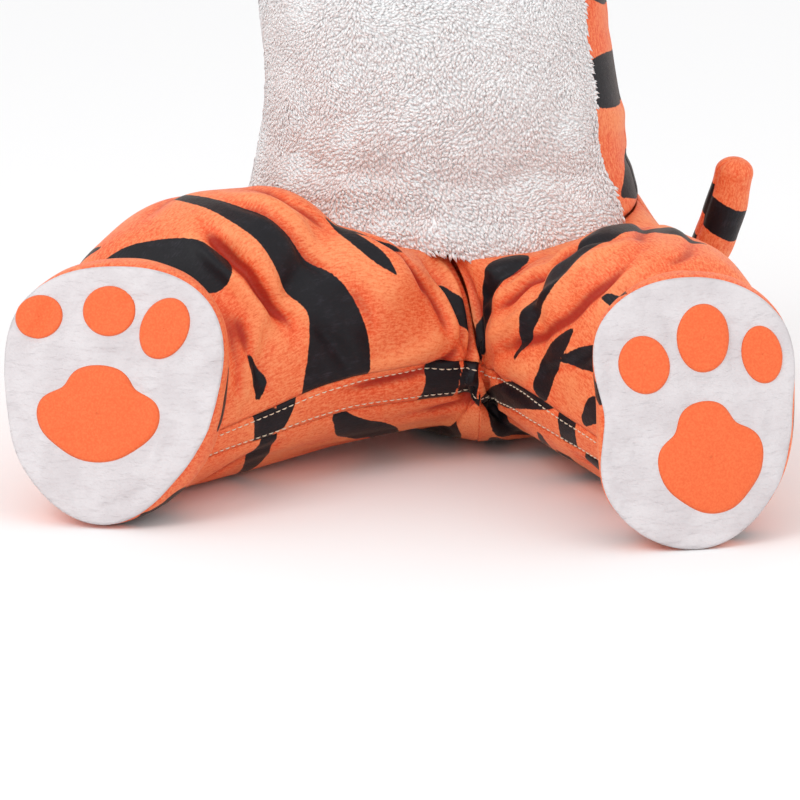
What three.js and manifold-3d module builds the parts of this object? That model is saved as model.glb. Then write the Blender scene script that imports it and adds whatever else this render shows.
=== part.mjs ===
// Baby tiger costume: a footed velour jumpsuit with a plush tummy panel, paw soles and a stuffed tail.
// It keeps the hollow form and the seated pose it has when worn: the front faces -Y, the seat is down.
import * as THREE from 'three';
import { mergeVertices } from 'three/addons/utils/BufferGeometryUtils.js';
import Module from 'manifold-3d';

// ---- driving sizes (mm, heights above the seat) ----
const CLOTH = 2;
const SEAM_GAP = 0.3;
const PILE = 7;
const PANEL_CLEARANCE = 0.7;
const PAD_CLOTH = 1;
const SHOULDER_HEIGHT = 388;
const BINDING_HEIGHT = 11;
const PLACKET_HALF_TURN = 9;
const SLEEVE_RISE = 27;
const SLEEVE_LENGTH = 185;
const FLOOR = 0.4;

// Turns round the body: 0 is the centre front, 90 the wearer's left side, 180 the centre back.
const BODICE = [
  { height: 150, shift: 5, halfWidth: 128, front: 86, back: 92 },
  { height: 182, shift: 4, halfWidth: 121, front: 91, back: 90 },
  { height: 215, shift: 3, halfWidth: 116, front: 94, back: 87 },
  { height: 250, shift: 0, halfWidth: 113, front: 91, back: 82 },
  { height: 285, shift: -4, halfWidth: 112, front: 86, back: 77 },
  { height: 318, shift: -6, halfWidth: 108, front: 79, back: 72 },
  { height: 348, shift: -7, halfWidth: 98, front: 70, back: 66 },
  { height: 372, shift: -7, halfWidth: 81, front: 59, back: 58 },
  { height: 388, shift: -7, halfWidth: 64, front: 51, back: 50 },
];
const BODICE_SQUARE = 2.3;

// How far the waist seam lies above or below its mean height.
const WAIST = [
  { turn: 0, lift: -8 },
  { turn: 45, lift: -10 },
  { turn: 90, lift: 4 },
  { turn: 135, lift: 2 },
  { turn: 180, lift: -4 },
  { turn: 225, lift: 6 },
  { turn: 270, lift: 16 },
  { turn: 315, lift: 2 },
  { turn: 360, lift: -8 },
];

// The centre seam, from the waist in front, down to the crotch, under the seat and up the back.
// Turns round a leg: 0 is its top, 90 faces the other leg, 180 is underneath, 270 its outer side.
const CENTRE_SEAM = [
  { turn: 60, x: 5, y: -86, z: 142 },
  { turn: 75, x: 22, y: -99, z: 122 },
  { turn: 90, x: 33, y: -113, z: 97 },
  { turn: 107, x: 38, y: -125, z: 68 },
  { turn: 118, x: 39, y: -128, z: 54 },
  { turn: 130, x: 39, y: -123, z: 38 },
  { turn: 145, x: 36, y: -101, z: 13 },
  { turn: 160, x: 30, y: -66, z: 3 },
  { turn: 180, x: 18, y: -8, z: 1 },
  { turn: 198, x: 10, y: 52, z: 9 },
  { turn: 212, x: 6, y: 88, z: 42 },
  { turn: 222, x: 5, y: 98, z: 95 },
  { turn: 230, x: 5, y: 92, z: 146 },
];
const SEAM_START = 60;
const SEAM_END = 230;

// Where the waist edge of a leg meets the bodice: from the centre back, past the side seam, to the front.
const WAIST_MATCH = [
  { turn: 230, body: 180 },
  { turn: 256, body: 140 },
  { turn: 282, body: 90 },
  { turn: 420, body: 0 },
];

const LEGS = {
  right: {
    side: -1,
    sections: [
      { along: 0.36, x: -60, y: -84, z: 90, halfWidth: 102, halfHeight: 91, yaw: 38, pitch: 24 },
      { along: 0.6, x: -115, y: -138, z: 89, halfWidth: 89, halfHeight: 90, yaw: 27, pitch: 12 },
      { along: 0.82, x: -149, y: -192, z: 82, halfWidth: 71, halfHeight: 81, yaw: 14, pitch: 0 },
      { along: 1, x: -165, y: -227, z: 75, halfWidth: 59, halfHeight: 71, yaw: 6, pitch: -12 },
    ],
    sole: { x: -168, y: -269, z: 75, yaw: 3, pitch: -14 },
    outline: [
      { turn: 0, reach: 78 },
      { turn: 45, reach: 83 },
      { turn: 90, reach: 66 },
      { turn: 135, reach: 64 },
      { turn: 180, reach: 76 },
      { turn: 225, reach: 68 },
      { turn: 270, reach: 63 },
      { turn: 315, reach: 78 },
      { turn: 360, reach: 78 },
    ],
  },
  left: {
    side: 1,
    sections: [
      { along: 0.36, x: 113, y: -92, z: 80, halfWidth: 77, halfHeight: 80, yaw: 27, pitch: 20 },
      { along: 0.6, x: 139, y: -142, z: 80, halfWidth: 75, halfHeight: 80, yaw: 20, pitch: 10 },
      { along: 0.82, x: 162, y: -192, z: 78, halfWidth: 63, halfHeight: 77, yaw: 14, pitch: 0 },
      { along: 1, x: 175, y: -226, z: 75, halfWidth: 54, halfHeight: 70, yaw: 14, pitch: -12 },
    ],
    sole: { x: 178, y: -268, z: 77, yaw: 18, pitch: -14 },
    outline: [
      { turn: 0, reach: 78 },
      { turn: 45, reach: 75 },
      { turn: 90, reach: 58 },
      { turn: 135, reach: 66 },
      { turn: 180, reach: 80 },
      { turn: 225, reach: 75 },
      { turn: 270, reach: 56 },
      { turn: 315, reach: 77 },
      { turn: 360, reach: 78 },
    ],
  },
};
const LEG_SQUARE = 2.35;
const SOLE_BULGE = 4;
const OUTSEAM = 282;

// The inseam band: the turns of its two edges, from the crotch to the ankle.
const INSEAM_BAND = [
  { along: 0, from: 107, to: 130 },
  { along: 0.36, from: 100, to: 119 },
  { along: 0.6, from: 100, to: 117 },
  { along: 0.82, from: 106, to: 122 },
  { along: 1, from: 110, to: 126 },
];

// The body that the seat of the suit is stretched over.
const HIP_ALONG = 0.17;
const HIP_SHARE = 0.45;
const SEAT = { x: 4, y: 8, z: 82, halfWidth: 137, halfDepth: 97, halfHeight: 83, square: 2.25 };

// The largest folds of each leg: where the line starts and ends, its width in degrees and its depth.
const FOLDS = {
  right: [
    { turn: 8, along: 0.26, toTurn: 84, toAlong: 0.86, width: 11, depth: -9 },
    { turn: -14, along: 0.3, toTurn: 62, toAlong: 0.94, width: 11, depth: 4 },
    { turn: 34, along: 0.24, toTurn: 96, toAlong: 0.64, width: 12, depth: 5 },
    { turn: 70, along: 0.14, toTurn: 84, toAlong: 0.44, width: 11, depth: -5 },
    { turn: 30, along: 0.02, toTurn: 20, toAlong: 0.4, width: 34, depth: -15 },
    { turn: 300, along: 0.2, toTurn: 290, toAlong: 0.8, width: 14, depth: -6 },
    { turn: 152, along: 0.3, toTurn: 144, toAlong: 0.85, width: 12, depth: -5 },
  ],
  left: [
    { turn: 10, along: 0.24, toTurn: 84, toAlong: 0.7, width: 11, depth: -6 },
    { turn: -12, along: 0.3, toTurn: 56, toAlong: 0.86, width: 11, depth: 4 },
    { turn: 46, along: 0.2, toTurn: 96, toAlong: 0.5, width: 11, depth: 4 },
    { turn: 30, along: 0.02, toTurn: 20, toAlong: 0.36, width: 32, depth: -10 },
    { turn: 292, along: 0.24, toTurn: 300, toAlong: 0.86, width: 14, depth: -6 },
    { turn: 150, along: 0.28, toTurn: 144, toAlong: 0.85, width: 12, depth: -5 },
  ],
};

// The plush tummy panel: the height of its free lower edge and how far that stands off the lap.
const HEM = [
  { turn: -80, height: 168, stand: 2 },
  { turn: -60, height: 155, stand: 8 },
  { turn: -34, height: 143, stand: 14 },
  { turn: 0, height: 135, stand: 18 },
  { turn: 22, height: 129, stand: 19 },
  { turn: 42, height: 132, stand: 14 },
  { turn: 58, height: 148, stand: 6 },
];
const PANEL_TOP = 362;
const PANEL_TOP_TURN = 50;

const SLEEVE = [
  { along: -24, halfDepth: 41, halfHeight: 43 },
  { along: 40, halfDepth: 39, halfHeight: 41 },
  { along: 80, halfDepth: 38, halfHeight: 40 },
  { along: 130, halfDepth: 35, halfHeight: 36 },
  { along: SLEEVE_LENGTH, halfDepth: 31, halfHeight: 32 },
];
const SLEEVE_ROOT = { x: 72, y: -2, z: 328 };

// The centre line of the stuffed tail, from the back seam to the tip.
const TAIL = [
  { along: 0, x: 6, y: 95, z: 66, radius: 13 },
  { along: 0.1, x: 14, y: 116, z: 55, radius: 13.5 },
  { along: 0.28, x: 62, y: 128, z: 40, radius: 13.5 },
  { along: 0.48, x: 124, y: 104, z: 52, radius: 13.5 },
  { along: 0.66, x: 164, y: 62, z: 84, radius: 13.5 },
  { along: 0.8, x: 179, y: 38, z: 114, radius: 14 },
  { along: 0.92, x: 189, y: 26, z: 145, radius: 14.5 },
  { along: 1, x: 194, y: 22, z: 168, radius: 13.5 },
];

// Paw pads in the plane of each sole: x to its right as seen from in front, y towards the toes.
const PADS = {
  right: [
    { name: 'toe_pad_1', x: -44, y: 46, halfWidth: 15, halfHeight: 13, tilt: 12, lobes: 0 },
    { name: 'toe_pad_2', x: -1, y: 51, halfWidth: 16, halfHeight: 15, tilt: 0, lobes: 0 },
    { name: 'toe_pad_3', x: 33, y: 42, halfWidth: 14.5, halfHeight: 19, tilt: -24, lobes: 0 },
    { name: 'heel_pad', x: -5, y: -10, halfWidth: 38, halfHeight: 29, tilt: 0, lobes: 0.15 },
  ],
  left: [
    { name: 'toe_pad_1', x: -31, y: 28, halfWidth: 15, halfHeight: 17, tilt: 10, lobes: 0 },
    { name: 'toe_pad_2', x: 5, y: 42, halfWidth: 16, halfHeight: 20, tilt: -6, lobes: 0 },
    { name: 'toe_pad_3', x: 40, y: 31, halfWidth: 12.5, halfHeight: 17, tilt: 8, lobes: 0 },
    { name: 'heel_pad', x: 6, y: -27, halfWidth: 32, halfHeight: 33, tilt: 8, lobes: 0.15 },
  ],
};

// ---- materials ----
const velour = (color) => new THREE.MeshStandardMaterial({ color, roughness: 0.62, metalness: 0 });
const ORANGE = '#ec6a3a';
const WHITE = '#ece9ea';
const SATIN = '#e5dfe1';
const PAD = '#f07a48';

// ---- curves and sections ----
const radians = THREE.MathUtils.degToRad;
const clamp = THREE.MathUtils.clamp;
const smoothstep = THREE.MathUtils.smoothstep;
const power = (value, exponent) => Math.sign(value) * Math.abs(value) ** exponent;

// A smooth curve through one column of a table, read at a value of its key column.
function read(rows, key, name, at) {
  const last = rows.length - 1;
  let i = 0;
  while (i < last - 1 && rows[i + 1][key] <= at) i += 1;
  const slope = (k) => {
    const a = rows[Math.max(k - 1, 0)];
    const b = rows[Math.min(k + 1, last)];
    return (b[name] - a[name]) / (b[key] - a[key]);
  };
  const step = rows[i + 1][key] - rows[i][key];
  const t = clamp((at - rows[i][key]) / step, 0, 1);
  const rise = t * t * (3 - 2 * t);
  const leave = t * (1 - t) * (1 - t) * step;
  const arrive = t * t * (t - 1) * step;
  return rows[i][name] * (1 - rise) + rows[i + 1][name] * rise + slope(i) * leave + slope(i + 1) * arrive;
}

// The same for a table that goes once round, from 0 to 360.
function readRound(rows, name, turn) {
  const before = { ...rows.at(-2), turn: rows.at(-2).turn - 360 };
  const after = { ...rows[1], turn: rows[1].turn + 360 };
  return read([before, ...rows, after], 'turn', name, wrap(turn));
}

// A point of a rounded-square section, from its centre and its two axes.
function sectionPoint(centre, across, up, turn, halfWidth, halfHeight, square, egg = 0) {
  const c = Math.cos(radians(turn));
  const s = Math.sin(radians(turn));
  const wide = power(s, 2 / square) * halfWidth * (1 + egg * c);
  const high = power(c, 2 / square) * halfHeight;
  return centre.clone().addScaledVector(across, wide).addScaledVector(up, high);
}

const wrap = (turn) => ((turn % 360) + 360) % 360;

// ---- bodice ----
function bodiceAt(turn, height, stand = 0) {
  const level = clamp(height, BODICE[0].height, SHOULDER_HEIGHT + BINDING_HEIGHT);
  const size = (name) => read(BODICE, 'height', name, level);
  const toFront = Math.cos(radians(turn)) > 0;
  const depth = toFront ? size('front') : size('back');
  const x = size('shift') + power(Math.sin(radians(turn)), 2 / BODICE_SQUARE) * (size('halfWidth') + stand);
  const y = -power(Math.cos(radians(turn)), 2 / BODICE_SQUARE) * (depth + stand);
  return new THREE.Vector3(x, y, height);
}

// The share is 0 on the waist seam and 1 on the neck seam.
function bodicePoint(turn, share) {
  const mean = BODICE[0].height;
  const lift = readRound(WAIST, 'lift', turn) * (1 - share) ** 2;
  return bodiceAt(turn, mean + lift + share * (SHOULDER_HEIGHT - mean));
}

// ---- legs ----
function waistTurn(leg, turn) {
  return leg.side * read(WAIST_MATCH, 'turn', 'body', turn);
}

// The top edge of a leg: the centre seam on one part of its turn, half the waist seam on the rest.
function topEdge(leg, turn) {
  const at = turn < SEAM_START ? turn + 360 : turn;
  if (at > SEAM_END) return bodicePoint(waistTurn(leg, at), 0);
  return new THREE.Vector3(
    read(CENTRE_SEAM, 'turn', 'x', at),
    read(CENTRE_SEAM, 'turn', 'y', at),
    read(CENTRE_SEAM, 'turn', 'z', at),
  );
}

function axes(leg, row) {
  const yaw = radians(row.yaw);
  const pitch = radians(row.pitch);
  const ahead = new THREE.Vector3(leg.side * Math.sin(yaw), -Math.cos(yaw), 0);
  const inward = new THREE.Vector3(-leg.side * Math.cos(yaw), -Math.sin(yaw), 0);
  const up = ahead.clone().multiplyScalar(Math.sin(pitch)).setZ(Math.cos(pitch));
  return { centre: new THREE.Vector3(row.x, row.y, row.z), inward, up };
}

function sectionOf(leg, row, turn) {
  const { centre, inward, up } = axes(leg, row);
  return sectionPoint(centre, inward, up, turn, row.halfWidth, row.halfHeight, LEG_SQUARE);
}

// How deep the folds are at a place on a leg.
function foldDepth(folds, turn, along) {
  let depth = 0;
  for (const fold of folds) {
    const share = (along - fold.along) / (fold.toAlong - fold.along);
    const line = fold.turn + (fold.toTurn - fold.turn) * share;
    const off = Math.abs(wrap(turn - line + 180) - 180);
    const ends = smoothstep(share, -0.15, 0.25) * (1 - smoothstep(share, 0.75, 1.15));
    depth += fold.depth * ends * Math.exp(-((off / fold.width) ** 2));
  }
  return depth * smoothstep(along, 0, 0.12);
}

// The point is pushed out to the seat where it would lie inside it.
function overSeat(point) {
  const out = new THREE.Vector3(
    Math.abs((point.x - SEAT.x) / SEAT.halfWidth) ** SEAT.square,
    Math.abs((point.y - SEAT.y) / SEAT.halfDepth) ** SEAT.square,
    Math.abs((point.z - SEAT.z) / SEAT.halfHeight) ** SEAT.square,
  );
  const reach = (out.x + out.y + out.z) ** (1 / SEAT.square);
  const full = (reach + 1 + Math.hypot(reach - 1, 0.08)) / 2;
  const middle = new THREE.Vector3(SEAT.x, SEAT.y, SEAT.z);
  return point.sub(middle).multiplyScalar(full / Math.max(reach, 0.2)).add(middle);
}

const at = (rows, along) => new THREE.Vector3(
  read(rows, 'along', 'x', along),
  read(rows, 'along', 'y', along),
  read(rows, 'along', 'z', along),
);
const legMiddle = (leg, along) => at([{ along: 0, x: leg.side * 20 + SEAT.x, y: -30, z: 84 }, ...leg.sections], along);

function legPoint(name, turn, along) {
  const leg = LEGS[name];
  const top = topEdge(leg, wrap(turn));
  const thigh = sectionOf(leg, leg.sections[0], turn);
  const hip = overSeat(top.clone().lerp(thigh, HIP_SHARE));
  const rows = [{ along: 0, ...top }, { along: HIP_ALONG, ...hip }];
  for (const row of leg.sections) rows.push({ along: row.along, ...sectionOf(leg, row, turn) });
  const point = at(rows, along);
  const outward = point.clone().sub(legMiddle(leg, along)).normalize();
  point.addScaledVector(outward, foldDepth(FOLDS[name], turn, along));
  point.z = (point.z + FLOOR + Math.hypot(point.z - FLOOR, 1.2)) / 2;
  return point;
}

// ---- feet ----
function solePoint(name, x, y, lift = 0) {
  const leg = LEGS[name];
  const row = leg.sole;
  const { centre, inward, up } = axes(leg, row);
  const rightward = inward.clone().multiplyScalar(-leg.side);
  const outward = new THREE.Vector3().crossVectors(rightward, up).normalize();
  const bulge = SOLE_BULGE * (1 - (x / 80) ** 2 - (y / 92) ** 2) + lift;
  return centre.addScaledVector(rightward, x).addScaledVector(up, y).addScaledVector(outward, bulge);
}

// The outline of a sole in its own plane: its turn runs from the toes to the right, seen from in front.
function soleEdge(name, turn, inset = 0) {
  const reach = readRound(LEGS[name].outline, 'reach', turn) - inset;
  return new THREE.Vector2(Math.sin(radians(turn)), Math.cos(radians(turn))).multiplyScalar(reach);
}

// The share is 0 on the ankle seam and 1 on the sole seam.
function footPoint(name, turn, share) {
  const ankle = legPoint(name, turn, 1);
  const edge = soleEdge(name, -LEGS[name].side * turn);
  const rim = solePoint(name, edge.x, edge.y);
  const outward = rim.clone().sub(solePoint(name, 0, 0)).normalize();
  const fullness = 4 * Math.sin(Math.PI * share);
  const point = ankle.lerp(rim, share).addScaledVector(outward, fullness);
  point.z = Math.max(point.z, FLOOR);
  return point;
}

// ---- sleeves and tail ----
function sleevePoint(side, turn, along) {
  const rise = radians(SLEEVE_RISE);
  const ahead = new THREE.Vector3(side * Math.cos(rise), -0.1, Math.sin(rise)).normalize();
  const up = new THREE.Vector3(-side * Math.sin(rise), 0, Math.cos(rise));
  const forward = new THREE.Vector3().crossVectors(ahead, up).multiplyScalar(side).normalize();
  const shift = read(BODICE, 'height', 'shift', SLEEVE_ROOT.z);
  const centre = new THREE.Vector3(side * SLEEVE_ROOT.x + shift, SLEEVE_ROOT.y, SLEEVE_ROOT.z);
  centre.addScaledVector(ahead, along);
  const halfDepth = read(SLEEVE, 'along', 'halfDepth', along);
  const halfHeight = read(SLEEVE, 'along', 'halfHeight', along);
  return sectionPoint(centre, forward, up, turn, halfDepth, halfHeight, 2.1);
}

const tailCentre = (along) => at(TAIL, along);

// ---- turning surfaces into closed cloth ----
function geometryFrom(points, triangles) {
  const geometry = new THREE.BufferGeometry();
  geometry.setAttribute('position', new THREE.Float32BufferAttribute(points.flatMap((p) => p.toArray()), 3));
  geometry.setIndex(triangles);
  return mergeVertices(geometry, 1e-4);
}

// The outward normal of a surface, from points a little way off on each side.
function normalAt(point, turn, run, runs, middle) {
  const step = (runs[1] - runs[0]) / 60;
  const below = point(turn, Math.max(run - step, runs[0]));
  const above = point(turn, Math.min(run + step, runs[1]));
  const side = point(turn + 2, run).sub(point(turn - 2, run));
  const normal = side.cross(above.sub(below)).normalize();
  return normal.dot(point(turn, run).sub(middle(turn, run))) < 0 ? normal.negate() : normal;
}

// Pulls the free edges of a grid in by half a seam gap.
function pullIn(grid, closed) {
  const half = SEAM_GAP / 2;
  const rows = grid.length;
  const columns = grid[0].length;
  const toward = (p, q) => p.clone().add(q.clone().sub(p).setLength(half));
  grid[0] = grid[0].map((p, i) => toward(p, grid[1][i]));
  grid[rows - 1] = grid[rows - 1].map((p, i) => toward(p, grid[rows - 2][i]));
  if (closed) return;
  for (const line of grid) {
    line[0] = toward(line[0], line[1]);
    line[columns - 1] = toward(line[columns - 1], line[columns - 2]);
  }
}

// The turn of a grid column: the knots are kept, and each span between them has its own columns.
function turnOf(knots, spans, column) {
  let span = 0;
  let rest = column;
  while (rest > spans[span]) {
    rest -= spans[span];
    span += 1;
  }
  return knots[span] + ((knots[span + 1] - knots[span]) * rest) / spans[span];
}

// A piece of cloth on a surface: an outer and an inner face, closed all round its edges.
function cloth(options) {
  const { point, knots, spans, runs, rows, closed = false, middle, squareRow } = options;
  const columns = spans.reduce((sum, span) => sum + span, 0);
  const { thickness = CLOTH, lift = 0, ease = 1, start = runs[0] } = options;
  const grid = [];
  const normals = [];
  const runAt = (j) => Math.max(start, runs[0] + (runs[1] - runs[0]) * (j / rows) ** ease);
  const turnAt = (i, j) => turnOf(knots(runAt(j)), spans, i);
  for (let j = 0; j <= rows; j += 1) {
    const line = [];
    const facing = [];
    for (let i = 0; i < columns + (closed ? 0 : 1); i += 1) {
      const normal = normalAt(point, turnAt(i, j), runAt(j), runs, middle);
      if (squareRow && squareRow(turnAt(i, j), j)) normal.setX(0).normalize();
      line.push(point(turnAt(i, j), runAt(j)));
      facing.push(normal);
    }
    grid.push(line);
    normals.push(facing);
  }
  pullIn(grid, closed);
  const flat = [];
  for (const depth of [lift, lift - thickness]) {
    grid.forEach((line, j) => line.forEach((p, i) => flat.push(p.clone().addScaledVector(normals[j][i], depth))));
  }
  const wide = grid[0].length;
  const sheet = wide * grid.length;
  const triangles = [];
  const quad = (a, b, c, d) => triangles.push(a, b, c, a, c, d);
  const across = closed ? wide : wide - 1;
  for (let j = 0; j < rows; j += 1) {
    for (let i = 0; i < across; i += 1) {
      const a = j * wide + i;
      const b = j * wide + ((i + 1) % wide);
      quad(a, b, b + wide, a + wide);
      quad(a + sheet, a + wide + sheet, b + wide + sheet, b + sheet);
    }
  }
  for (let i = 0; i < across; i += 1) {
    const next = (i + 1) % wide;
    const top = rows * wide;
    quad(next, i, i + sheet, next + sheet);
    quad(top + i, top + next, top + next + sheet, top + i + sheet);
  }
  if (!closed) {
    for (let j = 0; j < rows; j += 1) {
      const a = j * wide;
      const b = a + wide - 1;
      quad(a, a + wide, a + wide + sheet, a + sheet);
      quad(b + wide, b, b + sheet, b + wide + sheet);
    }
  }
  return outwardFacing(geometryFrom(flat, triangles));
}

// A round piece laid in the plane of a sole, from rings about its centre.
function disc(place, edge, rings, steps, lift, thickness) {
  const points = [];
  for (const depth of [lift, lift - thickness]) {
    points.push(place(0, 0, depth));
    for (let j = 1; j <= rings; j += 1) {
      for (let i = 0; i < steps; i += 1) {
        const at = edge((360 * i) / steps).multiplyScalar(j / rings);
        points.push(place(at.x, at.y, depth));
      }
    }
  }
  const sheet = 1 + rings * steps;
  const triangles = [];
  for (let i = 0; i < steps; i += 1) {
    const next = (i + 1) % steps;
    triangles.push(0, 1 + i, 1 + next, sheet, sheet + 1 + next, sheet + 1 + i);
    for (let j = 0; j < rings - 1; j += 1) {
      const a = 1 + j * steps + i;
      const b = 1 + j * steps + next;
      triangles.push(a, a + steps, b + steps, a, b + steps, b);
      triangles.push(a + sheet, b + steps + sheet, a + steps + sheet, a + sheet, b + sheet, b + steps + sheet);
    }
    const a = 1 + (rings - 1) * steps + i;
    const b = 1 + (rings - 1) * steps + next;
    triangles.push(a, a + sheet, b + sheet, a, b + sheet, b);
  }
  return outwardFacing(geometryFrom(points, triangles));
}

// A filled body on rings of points, with its two ends closed to their middles.
function filled(ringsOfPoints) {
  const steps = ringsOfPoints[0].length;
  const middleOf = (ring) => ring.reduce((sum, p) => sum.add(p), new THREE.Vector3()).divideScalar(steps);
  const points = ringsOfPoints.flat();
  const first = points.push(middleOf(ringsOfPoints[0])) - 1;
  const last = points.push(middleOf(ringsOfPoints.at(-1))) - 1;
  const triangles = [];
  const top = (ringsOfPoints.length - 1) * steps;
  for (let i = 0; i < steps; i += 1) {
    const next = (i + 1) % steps;
    for (let a = 0; a < top; a += steps) {
      triangles.push(a + i, a + next, a + steps + next, a + i, a + steps + next, a + steps + i);
    }
    triangles.push(first, next, i, last, top + i, top + next);
  }
  return outwardFacing(geometryFrom(points, triangles));
}

// The faces are turned round where the enclosed volume would be negative.
function outwardFacing(geometry) {
  const p = geometry.getAttribute('position');
  const index = geometry.getIndex();
  const corner = (k) => new THREE.Vector3().fromBufferAttribute(p, index.getX(k));
  let volume = 0;
  for (let k = 0; k < index.count; k += 3) volume += corner(k).cross(corner(k + 1)).dot(corner(k + 2));
  if (volume > 0) return geometry;
  for (let k = 0; k < index.count; k += 3) {
    const a = index.getX(k);
    index.setX(k, index.getX(k + 1));
    index.setX(k + 1, a);
  }
  return geometry;
}

// ---- cutting one piece with another ----
const wasm = await Module();
wasm.setup();

function toSolid(geometry) {
  const mesh = new wasm.Mesh({
    numProp: 3,
    vertProperties: geometry.getAttribute('position').array,
    triVerts: new Uint32Array(geometry.getIndex().array),
  });
  return new wasm.Manifold(mesh);
}

function fromSolid(solid) {
  const mesh = solid.getMesh();
  const geometry = new THREE.BufferGeometry();
  geometry.setAttribute('position', new THREE.BufferAttribute(mesh.vertProperties, 3));
  geometry.setIndex(new THREE.BufferAttribute(mesh.triVerts, 1));
  return geometry;
}

// What is left of a piece outside the tools; only its largest body is kept.
function cut(geometry, ...tools) {
  const left = tools.reduce((solid, tool) => solid.subtract(toSolid(tool)), toSolid(geometry));
  return fromSolid(left.simplify(0.01).decompose().sort((a, b) => b.volume() - a.volume())[0]);
}

// ---- the pieces ----
const suit = new THREE.Group();
suit.name = 'baby_tiger_costume';
suit.position.set(-BODICE.at(-1).shift, 0, -SHOULDER_HEIGHT);

const made = [];
function add(group, name, geometry, color) {
  const mesh = new THREE.Mesh(geometry, velour(color));
  mesh.name = name;
  group.add(mesh);
  made.push(geometry);
}

const bodice = new THREE.Group();
suit.add(bodice);
const bodiceMiddle = (turn, share) => bodicePoint(turn, share).setX(0).setY(0);
const ringTurns = (steps) => Array.from({ length: steps }, (_, i) => (360 * i) / steps);
const growFrom = (p, middle, grow) => p.clone().add(p.clone().sub(middle).setLength(grow));

// What the sleeves, the legs and the plush panel are cut back to, and what opens the armholes.
const BODICE_ROWS = 8;
const rowShares = Array.from({ length: BODICE_ROWS + 1 }, (_, j) => j / BODICE_ROWS);
const bodyFilled = filled(rowShares.map((share) => ringTurns(40).map((turn) => {
  const p = growFrom(bodicePoint(turn, share), bodiceMiddle(turn, share), SEAM_GAP);
  return share === 0 ? p.setZ(p.z - SEAM_GAP / 2) : p;
})));
const sleeveFilled = (side) => filled([20, 60, 110].map((along) => ringTurns(24).map((turn) => {
  const p = sleevePoint(side, turn, along);
  return growFrom(p, sleevePoint(side, turn, along).lerp(sleevePoint(side, turn + 180, along), 0.5), -CLOTH);
})));
const armholes = [sleeveFilled(1), sleeveFilled(-1)];

const between = (from, to) => () => [from, to];
const bodicePanel = (from, to, columns) => cut(cloth({
  point: bodicePoint,
  knots: between(from, to),
  spans: [columns],
  runs: [0, 1],
  rows: BODICE_ROWS,
  middle: bodiceMiddle,
}), ...armholes);
add(bodice, 'torso_front', bodicePanel(-90, 90, 20), ORANGE);
add(bodice, 'torso_back_left', bodicePanel(90, 180, 10), ORANGE);
add(bodice, 'torso_back_right', bodicePanel(180, 270, 10), ORANGE);

add(bodice, 'back_placket', cloth({
  point: bodicePoint,
  knots: between(180 - PLACKET_HALF_TURN, 180 + PLACKET_HALF_TURN),
  spans: [2],
  runs: [0.03, 0.995],
  rows: BODICE_ROWS,
  middle: bodiceMiddle,
  lift: SEAM_GAP + CLOTH,
}), ORANGE);

add(bodice, 'neck_binding', cloth({
  point: (turn, share) => bodiceAt(turn, SHOULDER_HEIGHT + share * BINDING_HEIGHT, 0.5 - 3 * share),
  knots: between(0, 360),
  spans: [32],
  runs: [0, 1],
  rows: 1,
  closed: true,
  thickness: 3,
  middle: (turn, share) => new THREE.Vector3(-9, 0, SHOULDER_HEIGHT + share * BINDING_HEIGHT),
}), ORANGE);

// The plush panel lies on the front and hangs free over the lap.
function tummyPoint(turn, share) {
  const hem = read(HEM, 'turn', 'height', clamp(turn, HEM[0].turn, HEM.at(-1).turn));
  const stand = read(HEM, 'turn', 'stand', turn) * (1 - smoothstep(share, 0, 0.2));
  const height = hem + share * (PANEL_TOP - hem);
  return bodiceAt(turn, height, stand);
}
const tummyPanel = cloth({
  point: tummyPoint,
  knots: (share) => {
    const taper = smoothstep(share, 0.64, 0.82);
    const edge = (turn) => turn + (Math.sign(turn) * PANEL_TOP_TURN - turn) * taper;
    return [edge(HEM[0].turn), edge(HEM.at(-1).turn)];
  },
  spans: [18],
  runs: [0, 1],
  rows: 10,
  thickness: PILE,
  lift: PILE + PANEL_CLEARANCE,
  middle: (turn, share) => tummyPoint(turn, share).setX(0).setY(0),
});

for (const [side, name] of [[1, 'left'], [-1, 'right']]) {
  add(bodice, `sleeve_${name}`, cut(cloth({
    point: (turn, along) => sleevePoint(side, turn, along),
    knots: between(0, 360),
    spans: [20],
    runs: [-10, SLEEVE_LENGTH],
    rows: 4,
    closed: true,
    middle: (turn, along) => sleevePoint(side, turn, along).lerp(sleevePoint(side, turn + 180, along), 0.5),
  }), bodyFilled), ORANGE);
}

const lower = new THREE.Group();
suit.add(lower);
const LEG_ROWS = 13;
const LEG_EASE = 1.35;
const bandEdge = (edge, along) => read(INSEAM_BAND, 'along', edge, along);
const LEG_PIECES = [
  { piece: 'leg_front', start: 0, knots: (a) => [OUTSEAM - 360, SEAM_START, bandEdge('from', a)], spans: [16, 6] },
  { piece: 'inseam_band', start: 0.035, knots: (a) => [bandEdge('from', a), bandEdge('to', a)], spans: [3] },
  { piece: 'leg_back', start: 0, knots: (a) => [bandEdge('to', a), SEAM_END, OUTSEAM], spans: [12, 7] },
];
const legRuns = Array.from({ length: LEG_ROWS + 1 }, (_, j) => (j / LEG_ROWS) ** LEG_EASE);
const legTurns = (along) => LEG_PIECES.flatMap(({ knots, spans }) => {
  const count = spans.reduce((sum, span) => sum + span, 0);
  return Array.from({ length: count }, (_, i) => turnOf(knots(along), spans, i));
});
const legFilled = (name) => filled(legRuns.map((along) => legTurns(along).map((turn) => {
  const p = legPoint(name, turn, along);
  return growFrom(p, legMiddle(LEGS[name], along), SEAM_GAP);
})));
const legsFilled = { right: legFilled('right'), left: legFilled('left') };
const legPieces = [];
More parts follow.
